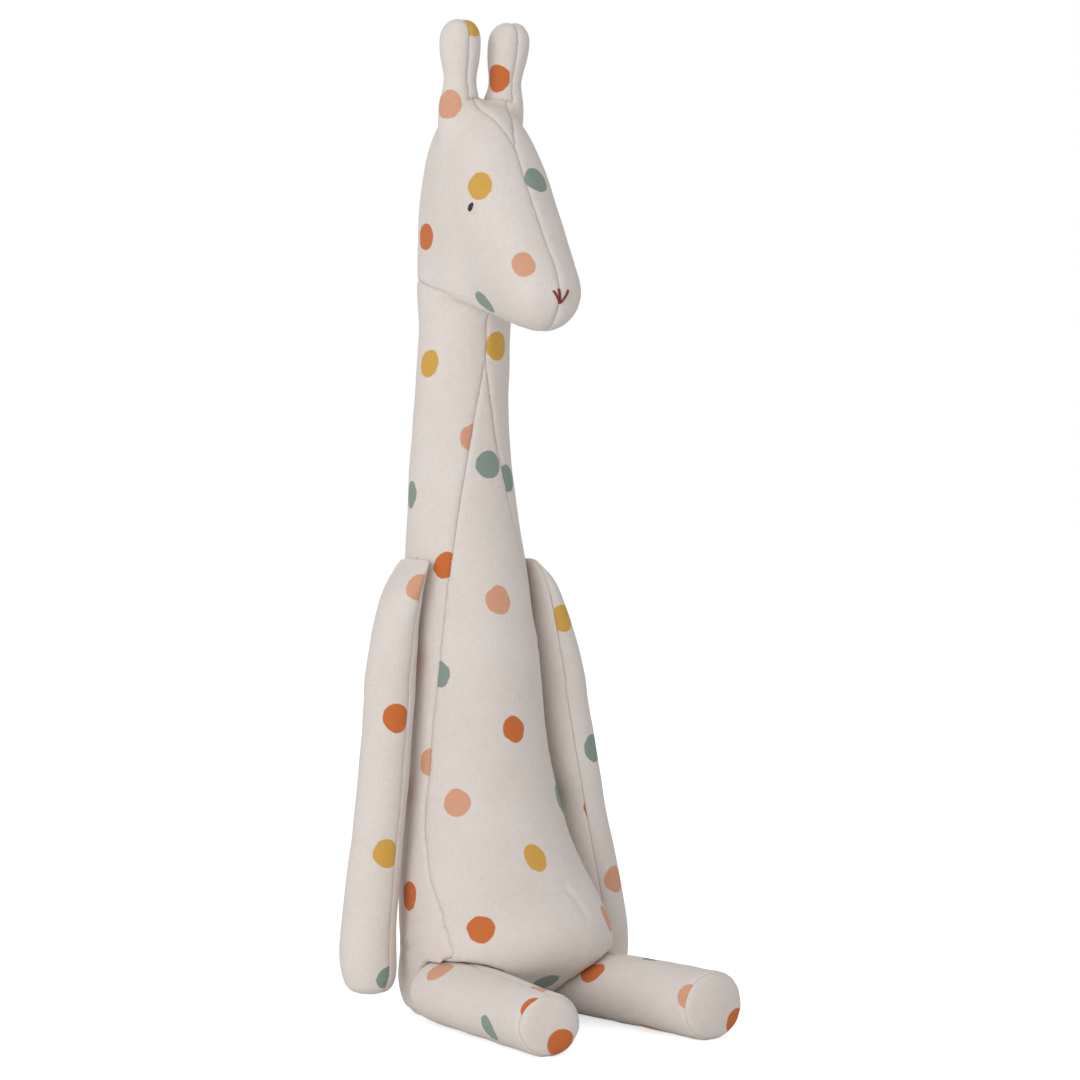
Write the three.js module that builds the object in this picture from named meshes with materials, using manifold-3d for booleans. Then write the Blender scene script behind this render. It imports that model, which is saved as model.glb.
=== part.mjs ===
// Plush giraffe sitting on the floor, in millimetres, +Z up.
// It faces -Y and its own left side is at +X. The origin is the middle of the flat face it sits on.

import * as THREE from 'three';
import { mergeVertices } from 'three/addons/utils/BufferGeometryUtils.js';
import Module from 'manifold-3d';

const wasm = await Module();
wasm.setup();

// Cloth, fill and clearances
const clothThickness = 1.2;
const seamGap = 0.3;
const fillClearance = 0.8;
const limbClearance = 0.8;
const flatCutDepth = 0.5;
const cutOverrun = 60;

// Body and neck, one form from the seat to the throat
const throatHeight = 384;
const seatHalfWidth = 60;
const seatHalfDepth = 78;

// Belly gusset: its top point under the throat, and how wide it is beside the thighs
const gussetTopHeight = 370;
const gussetHalfWidth = 50;

// Bag of pellets that weights the seat
const pelletBagHeight = 26;
const pelletBagHalfWidth = 36;
const pelletBagHalfDepth = 17;

// Head, measured from the middle of the neck and from the throat
const headReach = 112;
const headHeight = 132;
const headHalfWidth = 27.5;
const jawAboveThroat = 12;
const jawRise = 27;

// Eyes and nose, sewn with thread
const threadThickness = 0.9;
const eyeWidth = 3.4;
const eyeHeight = 5.2;
const eyeForward = 55;
const eyeAboveThroat = 69.5;
const noseWidth = 9;
const noseHeight = 8.5;
const noseStrand = 1.2;
const noseAboveThroat = 13.5;

// Crown gusset between the horns
const crownFrontReach = 58;
const crownBackReach = 14;

// Horns
const hornSpacing = 28;
const hornLength = 47;
const hornBaseRadius = 9.4;
const hornKnobRadius = 12.2;
const hornForward = 19;
const hornLean = 5;
const hornSplay = 2.4;
const hornSeat = 10;

// Arms, sewn flat to the body at the shoulders
const shoulderHeight = 255;
const shoulderForward = 9;
const shoulderHalfSeam = 19;
const shoulderHalfThickness = 2.6;
const armHalfThickness = 14.6;
const armHalfWidth = 15.2;
const armSplay = 6;
const armForward = 18;
// Both seams of an arm lie nearer the body, by this share of its half thickness
const armSeamInward = 0.35;
const handAboveFloor = 15;

// Legs, lying on the floor, wider than high at the hip
const legHalfWidth = 25;
const legHalfHeight = 18.5;
const legLength = 125;
const hipSpacing = 82;
const hipForward = 3;
const legSplayAngle = 5;
const hipRaiseAngle = 8;
const hipLowerAngle = 85;
const soleEdgeRadius = 2.5;

// Materials
const linen = { color: 0xded5cd, roughness: 0.95, metalness: 0 };
const fibreFill = { color: 0xf4f2ee, roughness: 1, metalness: 0 };
const pelletCloth = { color: 0xcfcac0, roughness: 0.9, metalness: 0 };
const blackThread = { color: 0x161412, roughness: 0.6, metalness: 0 };
const redThread = { color: 0x6e211b, roughness: 0.65, metalness: 0 };

const giraffe = new THREE.Group();

function addPiece(name, solid, finish) {
  const mesh = solid.getMesh();
  const geometry = new THREE.BufferGeometry();
  geometry.setAttribute('position', new THREE.BufferAttribute(mesh.vertProperties, mesh.numProp));
  geometry.setIndex(new THREE.BufferAttribute(mesh.triVerts, 1));
  geometry.computeVertexNormals();
  const piece = new THREE.Mesh(geometry, new THREE.MeshStandardMaterial(finish));
  piece.name = name;
  giraffe.add(piece);
}

// Smooth values between the rows of a table, for a share from 0 at its first row to 1 at its last
function smoothRows(rows) {
  const places = rows.map((row, index) => index);
  const curve = new THREE.CubicInterpolant(places, rows.flat(), rows[0].length);
  return (share) => Array.from(curve.evaluate(share * (rows.length - 1)));
}

// The row of a table at a given value of its first column, which rises from row to row
const searchSteps = 40;

function rowAtHeight(rows, height) {
  const rowAt = smoothRows(rows);
  let low = 0;
  let high = 1;
  for (let step = 0; step < searchSteps; step += 1) {
    const middle = (low + high) / 2;
    if (rowAt(middle)[0] < height) {
      low = middle;
    } else {
      high = middle;
    }
  }
  return rowAt(low);
}

function toSolid(geometry) {
  const bare = geometry.clone();
  bare.deleteAttribute('normal');
  bare.deleteAttribute('uv');
  const merged = mergeVertices(bare);
  const vertProperties = new Float32Array(merged.attributes.position.array);
  const triVerts = new Uint32Array(merged.index.array);
  return new wasm.Manifold(new wasm.Mesh({ numProp: 3, vertProperties, triVerts }));
}

// A closed form that swells and tapers through its stations. A station is a middle, a half-width
// vector, a half-depth vector and a roundness, which is 1 for an ellipse and less for a squarer ring.
// The first and last stations are points. An inset moves the skin inwards, and a negative inset moves
// it outwards. No inset takes a point past the form's middle.
const leastInsetShare = 0.1;
const nearby = 0.004;
const endReach = 0.15;

function swellForm(stations, rings, sides, inset = 0) {
  const stationAt = smoothRows(stations);
  const read = (share) => {
    const row = stationAt(THREE.MathUtils.clamp(share, 0, 1));
    return {
      middle: new THREE.Vector3(row[0], row[1], row[2]),
      side: new THREE.Vector3(row[3], row[4], row[5]),
      depth: new THREE.Vector3(row[6], row[7], row[8]),
      roundness: row[9],
    };
  };
  const rounded = (value, roundness) => Math.sign(value) * Math.abs(value) ** roundness;
  const skinAt = (share, angle) => {
    const { middle, side, depth, roundness } = read(share);
    middle.addScaledVector(side, rounded(Math.cos(angle), roundness));
    return middle.addScaledVector(depth, rounded(Math.sin(angle), roundness));
  };
  const start = read(0).middle;
  const end = read(1).middle;
  const startAxis = read(endReach).middle.sub(start).normalize();
  const endAxis = end.clone().sub(read(1 - endReach).middle).normalize();
  const points = [start.addScaledVector(startAxis, inset)];
  for (let ring = 1; ring < rings; ring += 1) {
    const share = ring / rings;
    const { middle, side, depth, roundness } = read(share);
    for (let corner = 0; corner < sides; corner += 1) {
      const angle = (2 * Math.PI * corner) / sides;
      const point = skinAt(share, angle);
      const along = skinAt(share + nearby, angle).sub(skinAt(share - nearby, angle));
      const around = skinAt(share, angle + nearby).sub(skinAt(share, angle - nearby));
      const normal = around.cross(along).normalize();
      if (normal.dot(point.clone().sub(middle)) < 0) {
        normal.negate();
      }
      const moved = point.addScaledVector(normal, -inset).sub(middle);
      const onSide = rounded(Math.cos(angle), roundness);
      const onDepth = rounded(Math.sin(angle), roundness);
      for (const [axis, full] of [[side, onSide], [depth, onDepth]]) {
        const now = moved.dot(axis) / axis.lengthSq();
        const kept = Math.sign(full) * Math.max(now * Math.sign(full), Math.abs(full) * leastInsetShare);
        moved.addScaledVector(axis, kept - now);
      }
      points.push(moved.add(middle));
    }
  }
  points.push(end.addScaledVector(endAxis, -inset));
  const at = (ring, corner) => 1 + (ring - 1) * sides + (corner % sides);
  const triangles = [];
  for (let corner = 0; corner < sides; corner += 1) {
    triangles.push([0, at(1, corner + 1), at(1, corner)]);
    triangles.push([points.length - 1, at(rings - 1, corner), at(rings - 1, corner + 1)]);
    for (let ring = 1; ring < rings - 1; ring += 1) {
      triangles.push([at(ring, corner), at(ring, corner + 1), at(ring + 1, corner)]);
      triangles.push([at(ring, corner + 1), at(ring + 1, corner + 1), at(ring + 1, corner)]);
    }
  }
  let volume = 0;
  for (const [a, b, c] of triangles) {
    volume += points[a].dot(points[b].clone().cross(points[c]));
  }
  if (volume < 0) {
    triangles.forEach((triangle) => triangle.reverse());
  }
  const vertProperties = new Float32Array(points.flatMap((point) => point.toArray()));
  const triVerts = new Uint32Array(triangles.flat());
  return new wasm.Manifold(new wasm.Mesh({ numProp: 3, vertProperties, triVerts }));
}

// Solids to cut with

function boxBetween(low, high) {
  const size = high.clone().sub(low);
  const box = new THREE.BoxGeometry(size.x, size.y, size.z);
  box.translate(low.x + size.x / 2, low.y + size.y / 2, low.z + size.z / 2);
  return toSolid(box);
}

function extrude(points, depth) {
  return new THREE.ExtrudeGeometry(new THREE.Shape(points), { depth, bevelEnabled: false });
}

// An outline in X and Z, taken along Y between two places
function prismAlongY(points, lowY, highY) {
  const prism = extrude(points, highY - lowY);
  prism.rotateX(Math.PI / 2);
  prism.translate(0, highY, 0);
  return toSolid(prism);
}

// An outline in Y and Z, taken along X between two places
function prismAlongX(points, lowX, highX) {
  const prism = extrude(points, highX - lowX);
  prism.rotateX(Math.PI / 2);
  prism.rotateZ(Math.PI / 2);
  prism.translate(lowX, 0, 0);
  return toSolid(prism);
}

// An outline in X and Y, taken along Z between two places
function prismAlongZ(points, lowZ, highZ) {
  const prism = extrude(points, highZ - lowZ);
  prism.translate(0, 0, lowZ);
  return toSolid(prism);
}

// All that lies on one side of a line of points in X and Z, with the line moved by half a seam gap
function besideLine(line, direction, reach) {
  const near = line.map((point) => new THREE.Vector2(point.x + (direction * seamGap) / 2, point.y));
  const far = line.map((point) => new THREE.Vector2(point.x + direction * reach, point.y)).reverse();
  return prismAlongY([...near, ...far], -reach, reach);
}

const everything = 2 * (throatHeight + headHeight + hornLength);
const aboveFloor = boxBetween(
  new THREE.Vector3(-everything, -everything, 0),
  new THREE.Vector3(everything, everything, everything),
);

// Body and neck

// Height as a share of the throat height; front and back as shares of the seat's half depth;
// half width as a share of the seat's half width; then the roundness
const bodyShares = [
  [-flatCutDepth / throatHeight, 0.06, 0.06, 0, 0.9],
  [0.0004, -0.06, 0.68, 0.7, 0.88],
  [0.008, -0.12, 0.78, 0.82, 0.87],
  [0.027, -0.2, 0.83, 0.88, 0.86],
  [0.058, -0.42, 0.86, 0.93, 0.86],
  [0.095, -0.66, 0.88, 0.95, 0.87],
  [0.145, -0.66, 0.94, 0.93, 0.9],
  [0.212, -0.36, 0.99, 0.87, 0.95],
  [0.29, -0.11, 1.04, 0.79, 1],
  [0.4, 0.05, 1.1, 0.71, 1],
  [0.515, 0.09, 1.14, 0.65, 1],
  [0.635, 0.21, 1.15, 0.59, 1],
  [0.74, 0.335, 1.15, 0.53, 1],
  [0.87, 0.405, 1.12, 0.465, 1],
  [1.0, 0.37, 1.045, 0.44, 1],
  [1.11, 0.4, 1.0, 0.43, 1],
  [1.16, 0.7, 0.7, 0, 1],
];
const bodyRows = bodyShares.map(([height, front, back, halfWidth, roundness]) => [
  height * throatHeight,
  front * seatHalfDepth,
  back * seatHalfDepth,
  halfWidth * seatHalfWidth,
  roundness,
]);
const bodyStations = bodyRows.map(([height, front, back, halfWidth, roundness]) => {
  const middle = (front + back) / 2;
  return [0, middle, height, halfWidth, 0, 0, 0, (back - front) / 2, 0, roundness];
});
const bodyMiddleAt = (height) => {
  const [, front, back] = rowAtHeight(bodyRows, height);
  return (front + back) / 2;
};
const bodyHalfWidthAt = (height, place) => {
  const [, front, back, halfWidth, roundness] = rowAtHeight(bodyRows, height);
  const offset = Math.abs(place - (front + back) / 2) / ((back - front) / 2);
  const square = Math.max(1 - offset ** (2 / roundness), 0);
  return halfWidth * square ** (roundness / 2);
};
const neckMiddle = bodyMiddleAt(throatHeight);
const neckFront = rowAtHeight(bodyRows, throatHeight)[1];

// Rings along each form, sides of its skin, and sides of the cloth's inside and of the fill
const bodySteps = [20, 24, 16];
const headSteps = [16, 22, 14];
const hornSteps = [8, 10, 8];
const armSteps = [12, 12, 8];
const legSteps = [11, 14, 10];
const bagSteps = [8, 14, 14];

const skinForm = ([rings, outerSides, innerSides], stations, inset) => (
  swellForm(stations, rings, inset > 0 ? innerSides : outerSides, inset)
);
const bodyForm = (inset) => skinForm(bodySteps, bodyStations, inset);
const fillInset = clothThickness + fillClearance;

// The head and the neck part at a plane that rises from under the chin to the nape
const jawSlope = jawRise / (2 * (neckMiddle - neckFront));
const jawHeightAt = (place) => throatHeight + jawAboveThroat + (place - neckFront) * jawSlope;
const jawOutline = (lift, top) => [
  new THREE.Vector2(-everything, jawHeightAt(-everything) + lift),
  new THREE.Vector2(everything, jawHeightAt(everything) + lift),
  new THREE.Vector2(everything, top),
  new THREE.Vector2(-everything, top),
];
const aboveJaw = prismAlongX(jawOutline(seamGap / 2, 2 * everything), -everything, everything);
const belowJaw = prismAlongX(jawOutline(-seamGap / 2, -2 * everything), -everything, everything);

// Room that a leg sweeps at the hip, from hanging straight down to raised in front
const hipPlace = new THREE.Vector2(-hipForward, legHalfHeight - flatCutDepth);

const betweenLegs = hipSpacing / 2 - legHalfWidth - limbClearance;

function legRoom(side) {
  const radius = legHalfHeight + limbClearance;
  const raise = THREE.MathUtils.degToRad(hipRaiseAngle);
  const lower = THREE.MathUtils.degToRad(hipLowerAngle);
  const onArc = (angle) => new THREE.Vector2(
    hipPlace.x + radius * Math.cos(angle),
    hipPlace.y + radius * Math.sin(angle),
  );
  const topAngle = Math.PI / 2 - raise;
  const backAngle = Math.PI / 2 - lower;
  const arcSteps = 12;
  const outline = [];
  for (let step = 0; step <= arcSteps; step += 1) {
    outline.push(onArc(topAngle + ((-backAngle - topAngle) * step) / arcSteps));
  }
  const reach = 2 * legLength;
  const last = outline[outline.length - 1];
  outline.push(new THREE.Vector2(last.x - reach * Math.cos(lower), last.y - reach * Math.sin(lower)));
  outline.push(new THREE.Vector2(hipPlace.x - reach, hipPlace.y - reach));
  const first = outline[0];
  outline.push(new THREE.Vector2(first.x - reach * Math.cos(raise), first.y + reach * Math.sin(raise)));
  const outer = seatHalfWidth + cutOverrun;
  return prismAlongX(outline, side > 0 ? betweenLegs : -outer, side > 0 ? outer : -betweenLegs);
}
const legRooms = legRoom(1).add(legRoom(-1));

const bodyTrim = (solid) => solid.intersect(aboveFloor).intersect(belowJaw).subtract(legRooms);
const bodyShell = bodyTrim(bodyForm(0).subtract(bodyForm(clothThickness)));

// The gusset lies in front of the body's middle. Below the thighs' tops it lies in front of the hips,
// and between the thighs it runs back to the seat.
// Its height as a share of its top's, then its half width as a share of its full half width
const gussetShares = [
  [0, 1],
  [0.14, 1.05],
  [0.22, 1],
  [0.39, 0.785],
  [0.56, 0.64],
  [0.655, 0.53],
  [0.81, 0.28],
  [0.89, 0.15],
  [1, 0],
];

function gussetPrism(grow) {
  const edge = gussetShares.slice(0, -1).map(([height, halfWidth]) => new THREE.Vector2(
    halfWidth * gussetHalfWidth + grow,
    height * gussetTopHeight,
  ));
  edge[0].y -= cutOverrun;
  const tip = new THREE.Vector2(0, gussetTopHeight + grow);
  const mirrored = edge.map((point) => new THREE.Vector2(-point.x, point.y)).reverse();
  const frontOutline = bodyRows.map(([height, front, back]) => {
    const middle = (front + back) / 2;
    return new THREE.Vector2(height < 2 * legHalfHeight ? Math.min(middle, hipPlace.x) : middle, height);
  });
  frontOutline.push(new THREE.Vector2(-everything, throatHeight + headHeight));
  frontOutline.push(new THREE.Vector2(-everything, bodyRows[0][0]));
  const tongue = boxBetween(
    new THREE.Vector3(-betweenLegs, -everything, -cutOverrun),
    new THREE.Vector3(betweenLegs, hipPlace.x + legHalfHeight + limbClearance, 2 * legHalfHeight),
  );
  const front = prismAlongX(frontOutline, -everything, everything).add(tongue);
  return prismAlongY([...edge, tip, ...mirrored], -everything, everything).intersect(front);
}

const seatTop = clothThickness;
const seatSlab = boxBetween(
  new THREE.Vector3(-everything, -everything, 0),
  new THREE.Vector3(everything, everything, seatTop),
);
const aboveSeat = boxBetween(
  new THREE.Vector3(-everything, -everything, seatTop + seamGap),
  new THREE.Vector3(everything, everything, everything),
);
const bodyWall = bodyShell.intersect(aboveSeat);
const halfSpace = (side) => boxBetween(
  new THREE.Vector3(side > 0 ? seamGap / 2 : -everything, -everything, -everything),
  new THREE.Vector3(side > 0 ? everything : -seamGap / 2, everything, everything),
);
const rightHalf = halfSpace(-1);
const leftHalf = halfSpace(1);

const bodySkin = bodyWall.subtract(gussetPrism(seamGap / 2));
addPiece('body_side_right', bodySkin.intersect(rightHalf), linen);
addPiece('body_side_left', bodySkin.intersect(leftHalf), linen);
addPiece('belly_gusset', bodyWall.intersect(gussetPrism(-seamGap / 2)), linen);
addPiece('seat_panel', bodyShell.intersect(seatSlab), linen);

// Bag of pellets low in the seat, behind the hips: height share, then the share of its full width
const pelletBagShares = [
  [0, 0],
  [0.01, 0.7],
  [0.2, 0.93],
  [0.5, 1],
  [0.8, 0.8],
  [0.97, 0.4],
  [1, 0],
];
const pelletBagMiddle = hipPlace.x + legHalfHeight + 2 * limbClearance + pelletBagHalfDepth;
const pelletBagStations = pelletBagShares.map(([height, width]) => [
  0, pelletBagMiddle, seatTop + seamGap + height * pelletBagHeight,
  width * pelletBagHalfWidth, 0, 0,
  0, width * pelletBagHalfDepth, 0, 1,
]);
const pelletBag = skinForm(bagSteps, pelletBagStations, 0);
addPiece('pellet_bag', pelletBag, pelletCloth);
const bagRoom = skinForm(bagSteps, pelletBagStations, -seamGap);
addPiece('body_stuffing', bodyTrim(bodyForm(fillInset)).intersect(aboveSeat).subtract(bagRoom), fibreFill);

// Head

// Forward from the neck's middle and up from the throat, of the top and of the bottom of each
// station, as shares of the head's reach and height, the half width as a share of its own, and
// the roundness
const headShares = [
  [-0.22, 0.5, -0.22, 0.5, 0, 0.9],
  [-0.19, 0.73, -0.215, 0.2, 0.5, 0.88],
  [-0.12, 0.91, -0.19, -0.05, 0.76, 0.8],
  [0.01, 0.985, -0.09, -0.15, 0.92, 0.74],
  [0.19, 1.01, 0.15, -0.14, 0.99, 0.75],
  [0.355, 0.955, 0.36, 0.045, 1.0, 0.9],
  [0.485, 0.83, 0.53, 0.035, 0.97, 0.92],
  [0.63, 0.625, 0.67, 0.005, 0.9, 0.95],
  [0.79, 0.41, 0.79, -0.005, 0.79, 0.96],
  [0.915, 0.25, 0.89, 0.03, 0.6, 1],
  [0.965, 0.14, 0.965, 0.14, 0, 1],
];
const headStations = headShares.map((shares) => {
  const [topForward, topUp, bottomForward, bottomUp, halfWidth, roundness] = shares;
  const topY = neckMiddle - topForward * headReach;
  const topZ = throatHeight + topUp * headHeight;
  const bottomY = neckMiddle - bottomForward * headReach;
  const bottomZ = throatHeight + bottomUp * headHeight;
  return [
    0, (topY + bottomY) / 2, (topZ + bottomZ) / 2,
    halfWidth * headHalfWidth, 0, 0,
    0, (topY - bottomY) / 2, (topZ - bottomZ) / 2,
    roundness,
  ];
});
const headForm = (inset) => skinForm(headSteps, headStations, inset);
const headAndNeck = (inset) => headForm(inset).add(bodyForm(inset)).intersect(aboveJaw);
const headShell = headAndNeck(0).subtract(headForm(clothThickness).add(bodyForm(clothThickness)));

const hornX = hornSpacing / 2;
const hornY = neckMiddle - hornForward;
const crownFrontY = neckMiddle - crownFrontReach;
const crownBackY = neckMiddle + crownBackReach;
const crownNarrowShare = 0.52;
const crownNarrowPlace = 0.42;

function crownPrism(grow) {
  const narrowY = crownFrontY + (hornY - crownFrontY) * crownNarrowPlace;
  const outline = [
    new THREE.Vector2(0, crownFrontY - grow),
    new THREE.Vector2(hornX * crownNarrowShare + grow, narrowY),
    new THREE.Vector2(hornX + grow, hornY),
    new THREE.Vector2(0, crownBackY + grow),
    new THREE.Vector2(-hornX - grow, hornY),
    new THREE.Vector2(-hornX * crownNarrowShare - grow, narrowY),
  ];
  return prismAlongZ(outline, throatHeight + headHeight / 2, everything);
}

// Horns, clubs that swell to a knob. The outer half of each is one piece with the side of the head.

// Way along the horn, then the radius as shares of the base's and of the knob's
const hornShares = [
  [0, 0, 0],
  [0.02, 1.2, 0],
  [0.18, 1.28, 0],
  [0.38, 1, 0],
  [0.56, 0.45, 0.56],
  [0.72, 0, 1],
  [0.86, 0, 0.95],
  [0.96, 0, 0.62],
  [0.99, 0, 0.3],
  [1, 0, 0],
];

function hornAxisAt(side, share) {
  return new THREE.Vector3(
    side * (hornX + share * hornSplay),
    hornY - share * hornLean,
    throatHeight + headHeight - hornSeat + share * (hornLength + hornSeat),
  );
}

function hornForm(side, inset) {
  const stations = hornShares.map(([share, base, knob]) => {
    const radius = base * hornBaseRadius + knob * hornKnobRadius;
    return [...hornAxisAt(side, share).toArray(), radius, 0, 0, 0, radius, 0, 1];
  });
  return skinForm(hornSteps, stations, inset);
}

// All that lies beside a horn's middle, towards one side
function besideHorn(side, direction) {
  const line = [-1, 2].map((share) => {
    const { x, z } = hornAxisAt(side, share);
    return new THREE.Vector2(x, z);
  });
  return besideLine(line, direction, cutOverrun);
}

const headClearance = headForm(-seamGap);
const crownCut = crownPrism(seamGap / 2).intersect(headClearance);

for (const [name, side] of [['right', -1], ['left', 1]]) {
  const half = side > 0 ? leftHalf : rightHalf;
  const hollow = headForm(clothThickness).add(bodyForm(clothThickness)).add(hornForm(side, clothThickness));
  const skin = headAndNeck(0).add(hornForm(side, 0)).subtract(hollow);
  const innerHorn = hornForm(side, -seamGap).subtract(besideHorn(side, side)).subtract(headForm(0));
  addPiece(`head_side_${name}`, skin.subtract(crownCut).subtract(innerHorn).intersect(half), linen);
  const shell = hornForm(side, 0).subtract(hornForm(side, clothThickness)).subtract(headClearance);
  addPiece(`horn_${name}_inner`, shell.intersect(besideHorn(side, -side)), linen);
  addPiece(`horn_${name}_stuffing`, hornForm(side, fillInset).subtract(headClearance), fibreFill);
}

addPiece('crown_gusset', headShell.intersect(crownPrism(-seamGap / 2)), linen);
const headFill = headForm(fillInset).add(bodyForm(fillInset)).intersect(aboveJaw);
addPiece('head_stuffing', headFill, fibreFill);

// Eyes and nose, a layer of thread laid over the cloth
const threadLayer = headForm(-seamGap - threadThickness).subtract(headForm(-seamGap));
const eyeSteps = 12;

for (const [name, side] of [['right', -1], ['left', 1]]) {
  const outline = [];
  for (let step = 0; step < eyeSteps; step += 1) {
    const angle = (2 * Math.PI * step) / eyeSteps;
    outline.push(new THREE.Vector2(
      neckMiddle - eyeForward + (eyeWidth / 2) * Math.cos(angle),
      throatHeight + eyeAboveThroat + (eyeHeight / 2) * Math.sin(angle),
    ));
  }
  const prism = prismAlongX(outline, side > 0 ? 0 : -everything, side > 0 ? everything : 0);
  addPiece(`eye_${name}`, threadLayer.intersect(prism), blackThread);
}

const noseTip = throatHeight + noseAboveThroat;
const noseOutline = [
  new THREE.Vector2(0, noseTip - noseStrand / 2),
  new THREE.Vector2(noseWidth / 2 + noseStrand / 2, noseTip + noseHeight),
  new THREE.Vector2(noseWidth / 2 - noseStrand / 2, noseTip + noseHeight),
  new THREE.Vector2(0, noseTip + noseStrand),
  new THREE.Vector2(-noseWidth / 2 + noseStrand / 2, noseTip + noseHeight),
  new THREE.Vector2(-noseWidth / 2 - noseStrand / 2, noseTip + noseHeight),
];
const nosePrism = prismAlongY(noseOutline, -everything, neckMiddle - headReach / 2);
addPiece('nose_stitches', threadLayer.intersect(nosePrism), redThread);

// Arms, flat where they are sewn to the shoulders, hanging against the body's sides

// Way down the arm, then the half thickness and half width as shares of the flat seam's and the arm's
const armShares = [
  [0.04, 0.8, 0.3],
  [0.09, 0.5, 0.57],
  [0.18, 0.18, 0.83],
  [0.28, 0.04, 0.97],
  [0.35, 0, 0.98],
  [0.6, 0, 1],
  [0.8, 0, 1.05],
  [0.9, 0, 1.09],
  [0.965, 0, 1],
  [0.993, 0, 0.7],
  [1, 0, 0],
];
const shoulderEndShares = [
  [-0.85, 0],
  [-0.5, 0.8],
  [0, 1],
];
const armLength = shoulderHeight - handAboveFloor;
const armRows = [
  ...shoulderEndShares.map(([rise, full]) => [(rise * shoulderHalfThickness) / armLength, full, 0]),
  ...armShares,
];
const shoulderY = neckMiddle - shoulderForward;

function armStations(side) {
  let outmost = 0;
  return armRows.map(([share, seam, arm]) => {
    const height = shoulderHeight - share * armLength;
    const place = shoulderY - Math.max(share, 0) * armForward;
    const halfThickness = seam * shoulderHalfThickness + arm * armHalfThickness;
    const halfWidth = seam * shoulderHalfSeam + arm * armHalfWidth;
    const level = Math.min(height, shoulderHeight);
    const lean = limbClearance + Math.max(share, 0) * armSplay;
    const beside = bodyHalfWidthAt(level, place) + lean + Math.max(halfThickness, shoulderHalfThickness);
    outmost = Math.max(outmost, beside);
    return [side * outmost, place, height, halfThickness, 0, 0, 0, halfWidth, 0, 1];
  });
}

const armFillStartShare = 0.07;
const belowShoulder = boxBetween(
  new THREE.Vector3(-everything, -everything, -everything),
  new THREE.Vector3(everything, everything, shoulderHeight - armFillStartShare * armLength),
);

for (const [name, side] of [['right', -1], ['left', 1]]) {
  const stations = armStations(side);
  const armForm = (inset) => skinForm(armSteps, stations, inset);
  const shell = armForm(0).subtract(armForm(clothThickness));
  const line = stations.map(([x, , z, halfThickness]) => (
    new THREE.Vector2(x - side * armSeamInward * halfThickness, z)
  ));
  line[0].y += cutOverrun;
  line[line.length - 1].y -= cutOverrun;
  addPiece(`arm_${name}_outer`, shell.intersect(besideLine(line, side, cutOverrun)), linen);
  addPiece(`arm_${name}_inner`, shell.intersect(besideLine(line, -side, cutOverrun)), linen);
  addPiece(`arm_${name}_stuffing`, armForm(fillInset).intersect(belowShoulder), fibreFill);
}

// Legs, with a round end in the hip's room and a flat sole in front

// Way along the leg from the hip to the sole, then the half width and half height as shares
const legShares = [
  [0, 1, 1],
  [0.25, 0.95, 0.98],
  [0.55, 0.835, 0.96],
  [0.88, 0.755, 0.94],
];
const soleEdgeShares = [
  [1, 0.74, 0.925],
  [0.3, 0.716, 0.9],
  [0, 0.663, 0.84],
];
const roundEndSteps = 4;

function legStations() {
  const rows = [];
  for (let step = 0; step < roundEndSteps; step += 1) {
    const angle = (Math.PI / 2) * (step / roundEndSteps);
    rows.push([-legHalfHeight * Math.cos(angle), Math.sin(angle), Math.sin(angle)]);
  }
  for (const [share, width, height] of legShares) {
    rows.push([share * legLength, width, height]);
  }
  for (const [share, width, height] of soleEdgeShares) {
    rows.push([legLength - share * soleEdgeRadius, width, height]);
  }
  rows.push([legLength, 0, 0]);
  return rows.map(([along, width, height]) => {
    const drop = along > 0 && height > 0 ? (1 - height) * legHalfHeight : 0;
    return [0, -along, -drop, width * legHalfWidth, 0, 0, 0, 0, height * legHalfHeight, 1];
  });
}

for (const [name, side] of [['right', -1], ['left', 1]]) {
  const place = (solid) => solid
    .rotate([0, 0, side * legSplayAngle])
    .translate([side * (hipSpacing / 2), hipPlace.x, hipPlace.y]);
  const legForm = (inset) => skinForm(legSteps, legStations(), inset);
  const shell = legForm(0).subtract(legForm(clothThickness));
  const tubeEnd = -legLength + clothThickness;
  const soleSlab = boxBetween(
    new THREE.Vector3(-cutOverrun, -legLength - cutOverrun, -cutOverrun),
    new THREE.Vector3(cutOverrun, tubeEnd, cutOverrun),
  );
  const tubeSlab = boxBetween(
    new THREE.Vector3(-cutOverrun, tubeEnd + seamGap, -cutOverrun),
    new THREE.Vector3(cutOverrun, cutOverrun, cutOverrun),
  );
  const tube = shell.intersect(tubeSlab);
  const outerHalf = side > 0 ? leftHalf : rightHalf;
  const innerHalf = side > 0 ? rightHalf : leftHalf;
  addPiece(`leg_${name}_outer`, place(tube.intersect(outerHalf)).intersect(aboveFloor), linen);
  addPiece(`leg_${name}_inner`, place(tube.intersect(innerHalf)).intersect(aboveFloor), linen);
  addPiece(`sole_${name}`, place(shell.intersect(soleSlab)).intersect(aboveFloor), linen);
  addPiece(`leg_${name}_stuffing`, place(legForm(fillInset)), fibreFill);
}

export default giraffe;
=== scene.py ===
# %% [markdown]
# # A plush giraffe, sewn from dotted linen
#
# The toy is a set of cloth covers, each stuffed tight with fibre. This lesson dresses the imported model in
# those covers. It makes each stuffed form, blows it up a little as filling does, sews in its seams, cuts it
# into its panels and prints the dots. Every length is in metres, and the toy faces -Y.

# %% Frame
import math

import bmesh
import bpy
import numpy as np
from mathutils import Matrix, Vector, noise
from mathutils.bvhtree import BVHTree
from mathutils.kdtree import KDTree


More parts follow.
